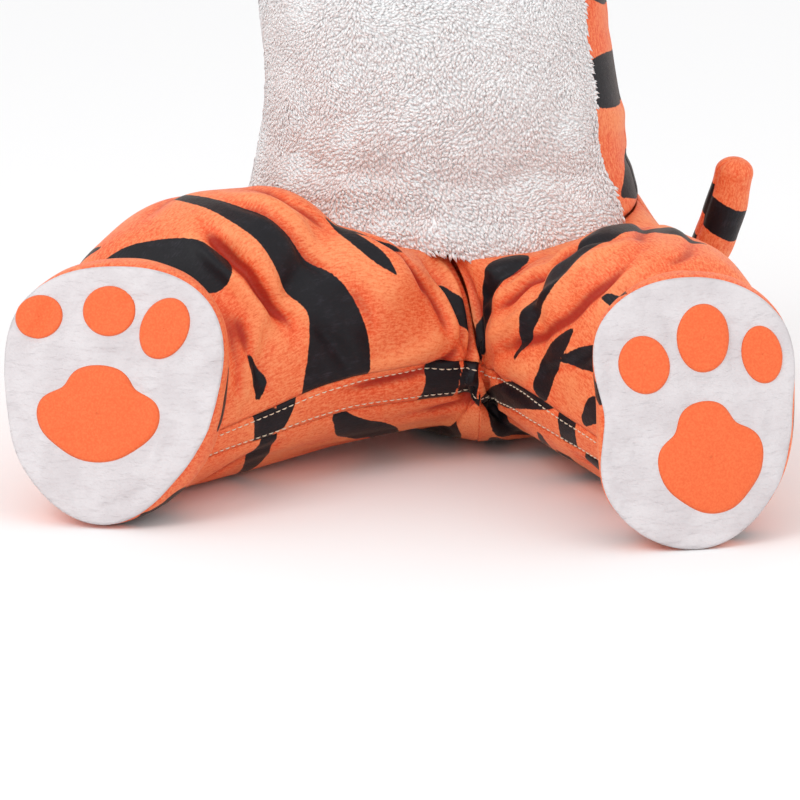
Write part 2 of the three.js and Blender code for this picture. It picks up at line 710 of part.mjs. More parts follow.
for (const name of ['right', 'left']) {
  const leg = LEGS[name];
  const middle = (turn, along) => legMiddle(leg, along);
  const tools = name === 'right' ? [bodyFilled, legsFilled.left] : [bodyFilled];
  const bodicePieces = made.slice(0, 3);
  for (const { piece, start, knots, spans } of LEG_PIECES) {
    add(lower, `${piece}_${name}`, cut(cloth({
      point: (turn, along) => legPoint(name, turn, along),
      knots,
      spans,
      runs: [0, 1],
      start,
      rows: LEG_ROWS,
      ease: LEG_EASE,
      middle,
      squareRow: (turn, row) => row === 0 && wrap(turn) > SEAM_START && wrap(turn) < SEAM_END,
    }), ...tools, ...bodicePieces, ...legPieces), ORANGE);
    legPieces.push(made.at(-1));
  }
  add(lower, `foot_${name}`, cloth({
    point: (turn, share) => footPoint(name, turn, share),
    knots: between(0, 360),
    spans: [36],
    runs: [0, 1],
    rows: 2,
    closed: true,
    middle: (turn, share) => middle(turn, 1).lerp(solePoint(name, 0, 0), share),
  }), ORANGE);
  const place = (x, y, depth) => solePoint(name, x, y, depth);
  const soleRim = (turn) => soleEdge(name, turn, 0.5);
  add(lower, `sole_${name}`, disc(place, soleRim, 3, 36, CLOTH + SEAM_GAP * 2, CLOTH), SATIN);
  for (const pad of PADS[name]) {
    const tilt = radians(pad.tilt);
    const edge = (turn) => {
      const lobe = 1 + pad.lobes * Math.cos(3 * radians(turn));
      const at = new THREE.Vector2(Math.sin(radians(turn)) * pad.halfWidth, Math.cos(radians(turn)) * pad.halfHeight);
      return at.multiplyScalar(lobe).rotateAround(new THREE.Vector2(), tilt);
    };
    const onSole = (x, y, depth) => place(pad.x + x, pad.y + y, depth);
    const lift = CLOTH + SEAM_GAP * 3.5 + PAD_CLOTH;
    add(lower, `${pad.name}_${name}`, disc(onSole, edge, 2, 18, lift, PAD_CLOTH), PAD);
  }
}

// The tail is stuffed, so it is filled; its frames are carried along the centre line.
const TAIL_RINGS = 16;
const tailRings = [];
let across = new THREE.Vector3(1, 0, 0);
for (let k = 0; k <= TAIL_RINGS; k += 1) {
  const along = k / TAIL_RINGS;
  const ahead = tailCentre(Math.min(along + 0.01, 1)).sub(tailCentre(Math.max(along - 0.01, 0))).normalize();
  across = across.addScaledVector(ahead, -across.dot(ahead)).normalize();
  const up = new THREE.Vector3().crossVectors(ahead, across);
  const radius = read(TAIL, 'along', 'radius', along);
  tailRings.push(ringTurns(14).map((turn) => sectionPoint(tailCentre(along), across, up, turn, radius, radius, 2)));
}
const tip = tailCentre(1);
const tipAhead = tailCentre(1).sub(tailCentre(0.98)).normalize();
for (const [ahead, share] of [[6, 0.86], [10, 0.5]]) {
  tailRings.push(tailRings[TAIL_RINGS].map((p) => p.clone().sub(tip).multiplyScalar(share).add(tip).addScaledVector(tipAhead, ahead)));
}
add(suit, 'tail', cut(filled(tailRings), legsFilled.left, legsFilled.right), ORANGE);
add(bodice, 'tummy_panel', cut(tummyPanel, bodyFilled, legsFilled.left, legsFilled.right), WHITE);

export default suit;
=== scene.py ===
# %% [markdown]
# # A baby tiger costume in velour, plush and satin
# The object is a footed baby jumpsuit that keeps the pose it has when worn, with nobody in it. The solids
# of each sewn piece come from the frame. Here each one gets a finer cloth, laid on the same form, with
# its creases, its pile, its stripes and its stitching.

# %% Load the frame
import math

import bpy
import numpy as np
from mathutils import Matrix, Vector


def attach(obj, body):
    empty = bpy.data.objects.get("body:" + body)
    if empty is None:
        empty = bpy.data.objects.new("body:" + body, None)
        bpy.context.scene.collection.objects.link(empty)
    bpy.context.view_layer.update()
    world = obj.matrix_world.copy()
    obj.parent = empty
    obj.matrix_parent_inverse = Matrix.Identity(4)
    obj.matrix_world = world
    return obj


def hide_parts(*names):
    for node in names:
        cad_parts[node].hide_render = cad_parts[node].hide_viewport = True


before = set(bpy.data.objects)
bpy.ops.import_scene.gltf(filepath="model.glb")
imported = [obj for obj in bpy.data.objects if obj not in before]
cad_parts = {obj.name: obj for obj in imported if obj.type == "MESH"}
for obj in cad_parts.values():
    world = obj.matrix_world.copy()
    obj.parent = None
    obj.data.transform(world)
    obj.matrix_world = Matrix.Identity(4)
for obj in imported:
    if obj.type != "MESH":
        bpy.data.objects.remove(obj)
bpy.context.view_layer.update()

bpy.ops.object.select_all(action="DESELECT")

# %% [markdown]
# ## The pattern of the suit
# A pattern cutter works from a few measures at a few heights. The same measures give every surface here:
# rings round the body, rings along each leg, and the lines where the pieces are sewn together. All are in
# millimetres above the seat, and the last step moves them to the shoulders, where the suit is held.

# %% Sizes and tables, in millimetres above the seat
SHOULDER = 388
NECK_SHIFT = -7
TURNS = np.radians(1)

# height, sideways shift, half width, depth in front, depth behind
HEIGHT, SHIFT, HALF_WIDTH, FRONT, BACK = np.array([
    (150, 5, 128, 86, 92),
    (182, 4, 121, 91, 90),
    (215, 3, 116, 94, 87),
    (250, 0, 113, 91, 82),
    (285, -4, 112, 86, 77),
    (318, -6, 108, 79, 72),
    (348, -7, 98, 70, 66),
    (372, -7, 81, 59, 58),
    (388, -7, 64, 51, 50),
], float).T
BODY_SQUARE = 2.3
WAIST_LIFT = np.array([-8, -10, 4, 2, -4, 6, 16, 2], float)

# turn round the leg, then the seam's place
SEAM_TURN, *SEAM_PLACE = np.array([
    (60, 5, -86, 142),
    (75, 22, -99, 122),
    (90, 33, -113, 97),
    (107, 38, -125, 68),
    (118, 39, -128, 54),
    (130, 39, -123, 38),
    (145, 36, -101, 13),
    (160, 30, -66, 3),
    (180, 18, -8, 1),
    (198, 10, 52, 9),
    (212, 6, 88, 42),
    (222, 5, 98, 95),
    (230, 5, 92, 146),
], float).T
SEAM_START, SEAM_END = 60, 230
WAIST_MATCH = np.array([(230, 180), (256, 140), (282, 90), (420, 0)], float).T
HIP_ALONG, HIP_SHARE = 0.17, 0.45
SEAT_CENTRE = np.array([4, 8, 82], float)
SEAT_HALF = np.array([137, 97, 83], float)
SEAT_SQUARE = 2.25
LEG_SQUARE = 2.35
SOLE_BULGE = 4
FLOOR = 0.4

# along, centre x y z, half width, half height, yaw, pitch; then the sole's x y z yaw pitch, and its reach
# each 45 degrees
LEGS = {
    "right": dict(side=-1, sections=[
        (0.36, -60, -84, 90, 102, 91, 38, 24),
        (0.6, -115, -138, 89, 89, 90, 27, 12),
        (0.82, -149, -192, 82, 71, 81, 14, 0),
        (1, -165, -227, 75, 59, 71, 6, -12),
    ], sole=(-168, -269, 75, 3, -14), reach=(78, 83, 66, 64, 76, 68, 63, 78)),
    "left": dict(side=1, sections=[
        (0.36, 113, -92, 80, 77, 80, 27, 20),
        (0.6, 139, -142, 80, 75, 80, 20, 10),
        (0.82, 162, -192, 78, 63, 77, 14, 0),
        (1, 175, -226, 75, 54, 70, 14, -12),
    ], sole=(178, -268, 77, 18, -14), reach=(78, 75, 58, 66, 80, 75, 56, 77)),
}
# turn and along at the start, at the end, width in degrees, depth
FOLDS = {
    "right": [
        (8, 0.26, 84, 0.86, 11, -9),
        (-14, 0.3, 62, 0.94, 11, 4),
        (34, 0.24, 96, 0.64, 12, 5),
        (70, 0.14, 84, 0.44, 11, -5),
        (30, 0.02, 20, 0.4, 34, -15),
        (300, 0.2, 290, 0.8, 14, -6),
        (152, 0.3, 144, 0.85, 12, -5),
    ],
    "left": [
        (10, 0.24, 84, 0.7, 11, -6),
        (-12, 0.3, 56, 0.86, 11, 4),
        (46, 0.2, 96, 0.5, 11, 4),
        (30, 0.02, 20, 0.36, 32, -10),
        (292, 0.24, 300, 0.86, 14, -6),
        (150, 0.28, 144, 0.85, 12, -5),
    ],
}
# along, first edge and second edge in degrees
BAND_ALONG, BAND_FROM, BAND_TO = np.array([
    (0, 107, 130), (0.36, 100, 119), (0.6, 100, 117), (0.82, 106, 122), (1, 110, 126),
], float).T
OUTSEAM = 282
# turn, height of the hem, how far it stands off
HEM_TURN, HEM_HEIGHT, HEM_STAND = np.array([
    (-80, 168, 2), (-60, 155, 8), (-34, 143, 14), (0, 135, 18), (22, 129, 19), (42, 132, 14), (58, 148, 6),
], float).T
PANEL_TOP, PANEL_TOP_TURN = 362, 50
SLEEVE_ALONG, SLEEVE_DEPTH, SLEEVE_HEIGHT = np.array([
    (-24, 41, 43), (40, 39, 41), (80, 38, 40), (130, 35, 36), (185, 31, 32),
], float).T
SLEEVE_ROOT = np.array([72, -2, 328], float)
SLEEVE_RISE = 27
SLEEVE_LENGTH = 185
TAIL = np.array([
    (0, 6, 95, 66, 13),
    (0.1, 14, 116, 55, 13.5),
    (0.28, 62, 128, 40, 13.5),
    (0.48, 124, 104, 52, 13.5),
    (0.66, 164, 62, 84, 13.5),
    (0.8, 179, 38, 114, 14),
    (0.92, 189, 26, 145, 14.5),
    (1, 194, 22, 168, 13.5),
], float)


# %% The curves that every surface is read from
def curve(keys, values, at):
    """A smooth curve through values at the keys; values may hold a column of its own for each place."""
    keys = np.asarray(keys, float)
    values = np.asarray(values, float)
    at = np.asarray(at, float)
    last = len(keys) - 1
    low = np.maximum(np.arange(last + 1) - 1, 0)
    high = np.minimum(np.arange(last + 1) + 1, last)
    spacing = (keys[high] - keys[low]).reshape((-1,) + (1,) * (values.ndim - 1))
    slopes = (values[high] - values[low]) / spacing
    i = np.clip(np.searchsorted(keys, at, side="right") - 1, 0, last - 1)
    step = keys[i + 1] - keys[i]
    t = np.clip((at - keys[i]) / step, 0, 1)
    if values.ndim == 1:
        pick = lambda table, k: table[k]
    else:
        where = np.arange(len(at))
        pick = lambda table, k: table[k, where]
        t, step = t[:, None], step[:, None]
    rise = t * t * (3 - 2 * t)
    leave = t * (1 - t) ** 2 * step
    arrive = t * t * (t - 1) * step
    return (pick(values, i) * (1 - rise) + pick(values, i + 1) * rise
            + pick(slopes, i) * leave + pick(slopes, i + 1) * arrive)


def round_curve(values, turn):
    """The same for values spread evenly once round."""
    values = np.asarray(values, float)
    spacing = 360 / len(values)
    keys = np.arange(-1, len(values) + 2) * spacing
    return curve(keys, np.concatenate([values[-1:], values, values[:2]]), np.mod(turn, 360))


def power(value, exponent):
    return np.sign(value) * np.abs(value) ** exponent


def smoothstep(value, low, high):
    t = np.clip((value - low) / (high - low), 0, 1)
    return t * t * (3 - 2 * t)


def places(*columns):
    return np.stack(np.broadcast_arrays(*columns), axis=-1).astype(float)


def unit(vectors):
    return vectors / np.maximum(np.linalg.norm(vectors, axis=-1, keepdims=True), 1e-9)


def section(centre, across, up, turn, half_width, half_height, square):
    wide = power(np.sin(turn * TURNS), 2 / square) * half_width
    high = power(np.cos(turn * TURNS), 2 / square) * half_height
    return centre + wide[..., None] * across + high[..., None] * up


# %% The surfaces
def bodice_at(turn, height, stand=0.0):
    level = np.clip(height, HEIGHT[0], HEIGHT[-1] + 11)
    c, s = np.cos(turn * TURNS), np.sin(turn * TURNS)
    depth = np.where(c > 0, curve(HEIGHT, FRONT, level), curve(HEIGHT, BACK, level))
    x = curve(HEIGHT, SHIFT, level) + power(s, 2 / BODY_SQUARE) * (curve(HEIGHT, HALF_WIDTH, level) + stand)
    y = -power(c, 2 / BODY_SQUARE) * (depth + stand)
    return places(x, y, height)


def bodice_point(turn, share):
    """The share is 0 on the waist seam and 1 on the neck seam."""
    lift = round_curve(WAIST_LIFT, turn) * (1 - share) ** 2
    return bodice_at(turn, HEIGHT[0] + lift + share * (SHOULDER - HEIGHT[0]))


def top_edge(side, turn):
    at = np.where(turn < SEAM_START, turn + 360, turn)
    waist = bodice_point(side * curve(*WAIST_MATCH, at), np.zeros_like(at))
    seam = places(*(curve(SEAM_TURN, line, at) for line in SEAM_PLACE))
    return np.where((at > SEAM_END)[..., None], waist, seam)


def axes(side, yaw, pitch):
    ahead = np.array([side * math.sin(yaw), -math.cos(yaw), 0])
    inward = np.array([-side * math.cos(yaw), -math.sin(yaw), 0])
    up = ahead * math.sin(pitch) + np.array([0, 0, math.cos(pitch)])
    return inward, up


def leg_section(side, row, turn):
    _, x, y, z, half_width, half_height, yaw, pitch = row
    inward, up = axes(side, math.radians(yaw), math.radians(pitch))
    return section(np.array([x, y, z], float), inward, up, turn, half_width, half_height, LEG_SQUARE)


def over_seat(point):
    off = point - SEAT_CENTRE
    reach = (np.abs(off / SEAT_HALF) ** SEAT_SQUARE).sum(-1) ** (1 / SEAT_SQUARE)
    full = (reach + 1 + np.hypot(reach - 1, 0.08)) / 2
    return off * (full / np.maximum(reach, 0.2))[..., None] + SEAT_CENTRE


def fold_depth(folds, turn, along):
    depth = 0
    for start, first, end, last, width, deep in folds:
        share = (along - first) / (last - first)
        off = np.abs(np.mod(turn - (start + (end - start) * share) + 180, 360) - 180)
        ends = smoothstep(share, -0.15, 0.25) * (1 - smoothstep(share, 0.75, 1.15))
        depth = depth + deep * ends * np.exp(-(off / width) ** 2)
    return depth * smoothstep(along, 0, 0.12)


def leg_middle(name, along):
    leg = LEGS[name]
    rows = [(0, leg["side"] * 20 + SEAT_CENTRE[0], -30, 84)] + [row[:4] for row in leg["sections"]]
    keys, *centre = np.array(rows, float).T
    return places(*(curve(keys, line, along) for line in centre))


def leg_point(name, turn, along):
    turn, along = np.broadcast_arrays(np.asarray(turn, float), np.asarray(along, float))
    shape = turn.shape
    turn, along = turn.ravel(), along.ravel()
    leg = LEGS[name]
    top = top_edge(leg["side"], np.mod(turn, 360))
    thigh = leg_section(leg["side"], leg["sections"][0], turn)
    rings = [top, over_seat(top * (1 - HIP_SHARE) + thigh * HIP_SHARE)]
    rings += [leg_section(leg["side"], row, turn) for row in leg["sections"]]
    keys = [0, HIP_ALONG] + [row[0] for row in leg["sections"]]
    point = curve(keys, np.array(rings), along)
    outward = unit(point - leg_middle(name, along))
    point = point + outward * fold_depth(FOLDS[name], turn, along)[:, None]
    point[:, 2] = (point[:, 2] + FLOOR + np.hypot(point[:, 2] - FLOOR, 1.2)) / 2
    return point.reshape(shape + (3,))


def sole_point(name, x, y, lift=0.0):
    leg = LEGS[name]
    *centre, yaw, pitch = leg["sole"]
    inward, up = axes(leg["side"], math.radians(yaw), math.radians(pitch))
    rightward = -leg["side"] * inward
    outward = np.cross(rightward, up)
    bulge = SOLE_BULGE * (1 - (x / 80) ** 2 - (y / 92) ** 2) + lift
    return (np.array(centre, float) + x[..., None] * rightward + y[..., None] * up
            + bulge[..., None] * unit(outward))


def sole_edge(name, turn, inset=0.0):
    reach = round_curve(LEGS[name]["reach"], turn) - inset
    return np.sin(turn * TURNS) * reach, np.cos(turn * TURNS) * reach


def foot_point(name, turn, share):
    turn, share = np.broadcast_arrays(np.asarray(turn, float), np.asarray(share, float))
    side = LEGS[name]["side"]
    ankle = leg_point(name, turn, np.ones_like(turn))
    rim = sole_point(name, *sole_edge(name, -side * turn))
    middle = sole_point(name, np.zeros(1), np.zeros(1))[0]
    full = 4 * np.sin(np.pi * share)
    point = ankle + (rim - ankle) * share[..., None] + unit(rim - middle) * full[..., None]
    point[..., 2] = np.maximum(point[..., 2], FLOOR)
    return point


def sleeve_point(side, turn, along):
    rise = math.radians(SLEEVE_RISE)
    ahead = unit(np.array([side * math.cos(rise), -0.1, math.sin(rise)]))
    up = np.array([-side * math.sin(rise), 0, math.cos(rise)])
    forward = unit(np.cross(ahead, up)) * side
    shift = curve(HEIGHT, SHIFT, np.array([SLEEVE_ROOT[2]]))[0]
    centre = SLEEVE_ROOT * (side, 1, 1) + (shift, 0, 0) + np.asarray(along)[..., None] * ahead
    return section(centre, forward, up, turn, curve(SLEEVE_ALONG, SLEEVE_DEPTH, along),
                   curve(SLEEVE_ALONG, SLEEVE_HEIGHT, along), 2.1)


def tummy_point(turn, share):
    hem = curve(HEM_TURN, HEM_HEIGHT, np.clip(turn, HEM_TURN[0], HEM_TURN[-1]))
    stand = curve(HEM_TURN, HEM_STAND, turn) * (1 - smoothstep(share, 0, 0.2))
    return bodice_at(turn, hem + share * (PANEL_TOP - hem), stand)


# %% [markdown]
# ## Cloth on a surface
# A garment is made of sheets, so each piece is a grid of points on its surface. A main crease is a line
# on the cloth with a width and a depth. A simulation would drape the suit over a body that isn't there,
# so the worn form is kept and the creases are modelled instead.

# %% Lines on the cloth: distance, share of the way and half width
def line_on(surface, rows, steps=7):
    """A smooth line through rows of turn, along and width, as points and widths."""
    rows = np.array(rows, float)
    keys = np.arange(len(rows))
    at = np.linspace(0, len(rows) - 1, (len(rows) - 1) * steps + 1)
    rows[:, 0] = np.unwrap(rows[:, 0], period=360)
    turn, along, width = (curve(keys, column, at) for column in rows.T)
    return surface(turn, np.maximum(along, 0)), np.maximum(width, 0), at / at[-1]


def off_line(points, line, widths, shares):
    """How far each point is from the line, and the line's width and share of the way there."""
    best = np.full(len(points), 1e9)
    width = np.zeros(len(points))
    share = np.zeros(len(points))
    for k in range(len(line) - 1):
        a, b = line[k], line[k + 1]
        run = np.clip(((points - a) @ (b - a)) / max((b - a) @ (b - a), 1e-9), 0, 1)
        far = np.linalg.norm(points - a - run[:, None] * (b - a), axis=1)
        closer = far < best
        best = np.where(closer, far, best)
        width = np.where(closer, widths[k] + run * (widths[k + 1] - widths[k]), width)
        share = np.where(closer, shares[k] + run * (shares[k + 1] - shares[k]), share)
    return best, width, share


def stripe_field(surface, stripes, points):
    """How far inside a black stripe each point lies, in millimetres; it is negative outside."""
    flat = points.reshape(-1, 3)
    inside = np.full(len(flat), -30.0)
    for rows in stripes:
        line, widths, shares = line_on(surface, rows)
        near = np.abs(flat - line.mean(0)).max(1) < np.abs(line - line.mean(0)).max() + 40
        if near.any():
            far, width, _ = off_line(flat[near], line, widths, shares)
            inside[near] = np.maximum(inside[near], width - far)
    return inside.reshape(points.shape[:-1])


def crease_depth(surface, creases, points):
    """The creases: a trough where the depth is below zero, a ridge where it is above."""
    flat = points.reshape(-1, 3)
    depth = np.zeros(len(flat))
    for rows, width, deep in creases:
        line, widths, shares = line_on(surface, [(*row, width) for row in rows])
        near = np.abs(flat - line.mean(0)).max(1) < np.abs(line - line.mean(0)).max() + 3 * width
        if near.any():
            far, _, share = off_line(flat[near], line, widths, shares)
            fade = smoothstep(share, 0, 0.3) * (1 - smoothstep(share, 0.7, 1))
            depth[near] += deep * (0.15 + 0.85 * fade) * np.exp(-(far / width) ** 2)
    return depth.reshape(points.shape[:-1])


def ripple(points, size, seed):
    """Small uneven swells, a sum of waves in different directions."""
    draw = np.random.default_rng(seed)
    total = np.zeros(points.shape[:-1])
    for _ in range(9):
        way = draw.normal(size=3)
        way = way / np.linalg.norm(way) * (2 * math.pi / (size * draw.uniform(0.6, 1.7)))
        total += np.sin(points @ way + draw.uniform(0, 6.3)) / 9
    return total


# %% A grid of points made into a piece of cloth
def to_frame(points):
    """From millimetres above the seat to metres from the shoulders."""
    return (points - np.array([NECK_SHIFT, 0, SHOULDER])) / 1000


def normals_of(grid, middle, closed):
    if closed:
        wide = np.concatenate([grid[:, -2:-1], grid, grid[:, 1:2]], axis=1)
        across = (wide[:, 2:] - wide[:, :-2])
    else:
        across = np.gradient(grid, axis=1)
    along = np.gradient(grid, axis=0)
    normals = unit(np.cross(across, along))
    facing = np.sign((normals * (grid - middle)).sum(-1).mean())
    return normals * facing


def lay_cloth(name, grid, middle, relief=0.0, wall=1.2, closed=False, lift=0.0, inside=None, pucker=True,
              hole=None):
    """Makes one sheet: the grid, moved out by its relief, with a wall behind it and its cut as a UV map."""
    normals = normals_of(grid, middle, closed)
    rows, columns = grid.shape[:2]
    step_across = np.linalg.norm(np.diff(grid, axis=1), axis=-1).mean(0)
    step_along = np.linalg.norm(np.diff(grid, axis=0), axis=-1).mean(1)
    across = np.concatenate([[0], np.cumsum(step_across)])
    along = np.concatenate([[0], np.cumsum(step_along)])
    edge = np.minimum(along, along[-1] - along)[:, None] + np.zeros((rows, columns))
    if not closed:
        edge = np.minimum(edge, np.minimum(across, across[-1] - across)[None, :])
    tuck = -1.1 * np.exp(-((edge / 2.6) ** 2)) if pucker else 0
    points = to_frame(grid + normals * (relief + lift + tuck)[..., None])
    field = np.full((rows, columns), -30.0) if inside is None else inside
    keep = columns - 1 if closed else columns
    index = np.arange(rows * keep).reshape(rows, keep)
    nxt = np.roll(index, -1, axis=1) if closed else index[:, 1:]
    here = index if closed else index[:, :-1]
    faces = np.stack([here[:-1], nxt[:-1], nxt[1:], here[1:]], axis=-1).reshape(-1, 4)
    a, b, c = (points[:, :keep].reshape(-1, 3)[faces[:, k]] for k in (0, 1, 2))
    out = normals[:, :keep].reshape(-1, 3)[faces[:, 0]]
    if hole is not None:
        kept = ~hole(grid[:, :keep].reshape(-1, 3))[faces].any(axis=1)
        print(name, "faces cut away for the arms:", int((~kept).sum()))
    if (np.cross(b - a, c - a) * out).sum() < 0:
        faces = faces[:, ::-1]
    if hole is not None:
        faces = faces[kept]
    mesh = bpy.data.meshes.new(name)
    mesh.from_pydata(points[:, :keep].reshape(-1, 3).tolist(), [], faces.tolist())
    cut = mesh.uv_layers.new(name="cut")
    spot = np.stack(np.broadcast_arrays(across[None, :keep], along[:, None]), axis=-1).reshape(-1, 2) / 1000
    corners = np.empty(len(mesh.loops), np.int32)
    mesh.loops.foreach_get("vertex_index", corners)
    cut.data.foreach_set("uv", spot[corners].astype(np.float32).ravel())
    # the fold depth, with a slow ripple and the tucks by the seams, is stored so the velour can paint
    # highlight on ridges and shade in troughs
    folds = (relief + np.zeros((rows, columns)) - ripple(grid, 90, 17) * 0.4 + tuck * 0.8)[:, :keep]
    for attribute, values in (("stripe", field[:, :keep]), ("fold", folds)):
        channel = mesh.attributes.new(attribute, "FLOAT", "POINT")
        channel.data.foreach_set("value", values.astype(np.float32).ravel())
    mesh.polygons.foreach_set("use_smooth", [True] * len(mesh.polygons))
    piece = bpy.data.objects.new(name, mesh)
    bpy.context.collection.objects.link(piece)
    bpy.context.view_layer.objects.active = piece
    if wall:
        behind = piece.modifiers.new("wall", "SOLIDIFY")
        behind.thickness = wall / 1000
        behind.offset = -1
        bpy.ops.object.modifier_apply(modifier=behind.name)
    piece["cut_width"] = float(across[-1] / 1000)
    piece["cut_length"] = float(along[-1] / 1000)
    u, v = np.gradient(grid, axis=1), np.gradient(grid, axis=0)
    piece["cut_area"] = float(np.linalg.norm(np.cross(u, v), axis=-1)[:-1, :-1].sum() / 1e6)
    return piece


def finish_cloth(piece, nodes, finish):
    """Gives a sheet its finish, makes it ride the root and hides the parts of the frame that it replaces."""
    piece.data.materials.append(finish)
    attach(piece, "root")
    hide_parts(*nodes)


# %% [markdown]
# ## The finishes
# Velour is a knit with a short cut pile: it has a fine slanting grain, and it goes pale where it is seen
# edge on. Where the pile turns, its sheen speckles; these flecks are painted sheen in the colour, which
# also holds painted highlight on the ridges of the folds and painted shade in their troughs. The stripes
# are printed, so they are colour only, and each point of the cloth knows how far inside a stripe it lies.
# The edge stays crisp at any size that way.

# %% Shader maths as expressions
class Amount:
    """A value socket that takes part in Python expressions."""

    def __init__(self, finish, socket):
        self.finish, self.socket = finish, socket

    def _with(self, operation, *inputs):
        return Amount(self.finish, self.finish.add("ShaderNodeMath", {"operation": operation}, inputs))

    def __add__(self, other):
        return self._with("ADD", self, other)

    def __sub__(self, other):
        return self._with("SUBTRACT", self, other)

    def __rsub__(self, other):
        return self._with("SUBTRACT", other, self)

    def __mul__(self, other):
        return self._with("MULTIPLY", self, other)

    __radd__ = __add__
    __rmul__ = __mul__

    def soft(self, low, high):
        """0 below low, 1 above high, and smooth between."""
        settings = {"interpolation_type": "SMOOTHSTEP"}
        inputs = (self, low, high, 0.0, 1.0)
        return Amount(self.finish, self.finish.add("ShaderNodeMapRange", settings, inputs))


class Finish:
    """One material: its shader, and one way to add any other node."""

    def __init__(self, name, color, roughness, sheen=0.0, sheen_roughness=0.4, sheen_tint=(1, 1, 1)):
        self.material = bpy.data.materials.new(name)
        self.material.use_nodes = True
        self.tree = self.material.node_tree
        self.shader = self.tree.nodes["Principled BSDF"]
        self.shader.inputs["Base Color"].default_value = (*color, 1)
        self.shader.inputs["Roughness"].default_value = roughness
        self.shader.inputs["Sheen Weight"].default_value = sheen
        self.shader.inputs["Sheen Roughness"].default_value = sheen_roughness
        self.shader.inputs["Sheen Tint"].default_value = (*sheen_tint, 1)
        self.shader.inputs["Specular IOR Level"].default_value = 0.3
        self.material.diffuse_color = (*color, 1)

    def add(self, kind, settings=None, inputs=(), output=0):
        node = self.tree.nodes.new(kind)
        for key, value in (settings or {}).items():
            setattr(node, key, value)
        pairs = inputs.items() if isinstance(inputs, dict) else enumerate(inputs)
        for key, value in pairs:
            value = value.socket if isinstance(value, Amount) else value
            if isinstance(value, bpy.types.NodeSocket):
                self.tree.links.new(value, node.inputs[key])
            else:
                node.inputs[key].default_value = value
        return node.outputs[output]

    def place(self, source="Object", scale=(1, 1, 1), turn=0.0):
        node = self.tree.nodes.new("ShaderNodeTexCoord")
        inputs = {"Vector": node.outputs[source], "Scale": scale, "Rotation": (0, 0, math.radians(turn))}
        return self.add("ShaderNodeMapping", {}, inputs)

    def noise(self, where, scale, detail=2.0, rough=0.5):
        inputs = {"Vector": where, "Scale": scale, "Detail": detail, "Roughness": rough}
        return Amount(self, self.add("ShaderNodeTexNoise", {}, inputs))

    def blend(self, amount, first, second):
        inputs = {"Factor": amount, "A": (*first, 1) if isinstance(first, tuple) else first,
                  "B": (*second, 1) if isinstance(second, tuple) else second}
        node = self.tree.nodes.new("ShaderNodeMix")
        node.data_type = "RGBA"
        for name, value in inputs.items():
            socket = next(s for s in node.inputs
                          if s.name == name and (s.type == "RGBA") == (name != "Factor"))
            value = value.socket if isinstance(value, Amount) else value
            if isinstance(value, bpy.types.NodeSocket):
                self.tree.links.new(value, socket)
            else:
                socket.default_value = value
        return next(s for s in node.outputs if s.type == "RGBA")

    def color(self, socket):
        self.tree.links.new(socket, self.shader.inputs["Base Color"])

    def rough(self, amount):
        self.tree.links.new(amount.socket, self.shader.inputs["Roughness"])

    def relief(self, *layers):
        """Bumps, each of a height, a strength and a depth in metres, one over the other."""
        normal = None
        for height, strength, depth in layers:
            inputs = {"Height": height, "Strength": strength, "Distance": depth}
            if normal is not None:
                inputs["Normal"] = normal
            normal = self.add("ShaderNodeBump", {}, inputs)
        self.tree.links.new(normal, self.shader.inputs["Normal"])


# %% Orange velour with printed black stripes
def striped_velour():
    finish = Finish("striped_velour", (0.9, 0.105, 0.02), 0.5, sheen=0.12, sheen_roughness=0.35,
                    sheen_tint=(1.0, 0.7, 0.5))
    grain_at = finish.place("UV", (1.0, 0.28, 1.0), turn=38)
    grain = finish.noise(grain_at, 680.0, 4.0, 0.7)
    speckle = finish.noise(finish.place("Object"), 620.0, 3.0, 0.7)
    light_and_shade_patch = finish.noise(finish.place("Object"), 30.0, 3.0, 0.6)
    nap = finish.noise(finish.place("Object", (1, 1, 1.6)), 90.0, 2.0, 0.5)
    fold = Amount(finish, finish.add("ShaderNodeAttribute", {"attribute_name": "fold"}, output=2))
    # painted light and shade: the fold depth and broad noise patches set where the orange is painted paler
    # and where darker
    height = fold + (light_and_shade_patch - 0.5) * 3.0
    # painted highlight: paler orange on the ridges of the folds and in broad patches
    mid = finish.blend(height.soft(-1.1, 1.5) * 0.9, (0.86, 0.115, 0.03), (0.94, 0.27, 0.1))
    # painted sheen: the grain shows as paler flecks, as the turning pile catches the light
    painted_sheen = finish.blend((grain * 0.6 + speckle * 0.4).soft(0.42, 0.64) * 0.6, mid, (0.97, 0.4, 0.18))
    # painted sheen: darker flecks of the grain, where the pile turns away from the light
    orange = finish.blend((grain * 0.6 + speckle * 0.4).soft(0.52, 0.34) * 0.5, painted_sheen, (0.66, 0.05, 0.012))
    # painted shade: deep red in the troughs of the creases and in the tucks by the seams
    orange = finish.blend(height.soft(-0.9, -4.2) * 0.9, orange, (0.38, 0.014, 0.005))
    night = finish.blend((grain * 0.5 + nap * 0.5).soft(0.5, 0.72),
                         (0.0035, 0.003, 0.006), (0.02, 0.018, 0.026))
    edge_wobble = finish.noise(finish.place("Object"), 420.0, 1.0, 0.5)
    inside = Amount(finish, finish.add("ShaderNodeAttribute", {"attribute_name": "stripe"}, output=2))
    black = (inside + (edge_wobble - 0.5) * 1.1).soft(-0.3, 0.3)
    finish.color(finish.blend(black, orange, night))
    finish.rough(0.44 + speckle * 0.28 - black * 0.04)
    finish.relief((nap, 0.3, 0.0012), (grain, 0.55, 0.00035), (speckle, 0.4, 0.0003))
    return finish.material


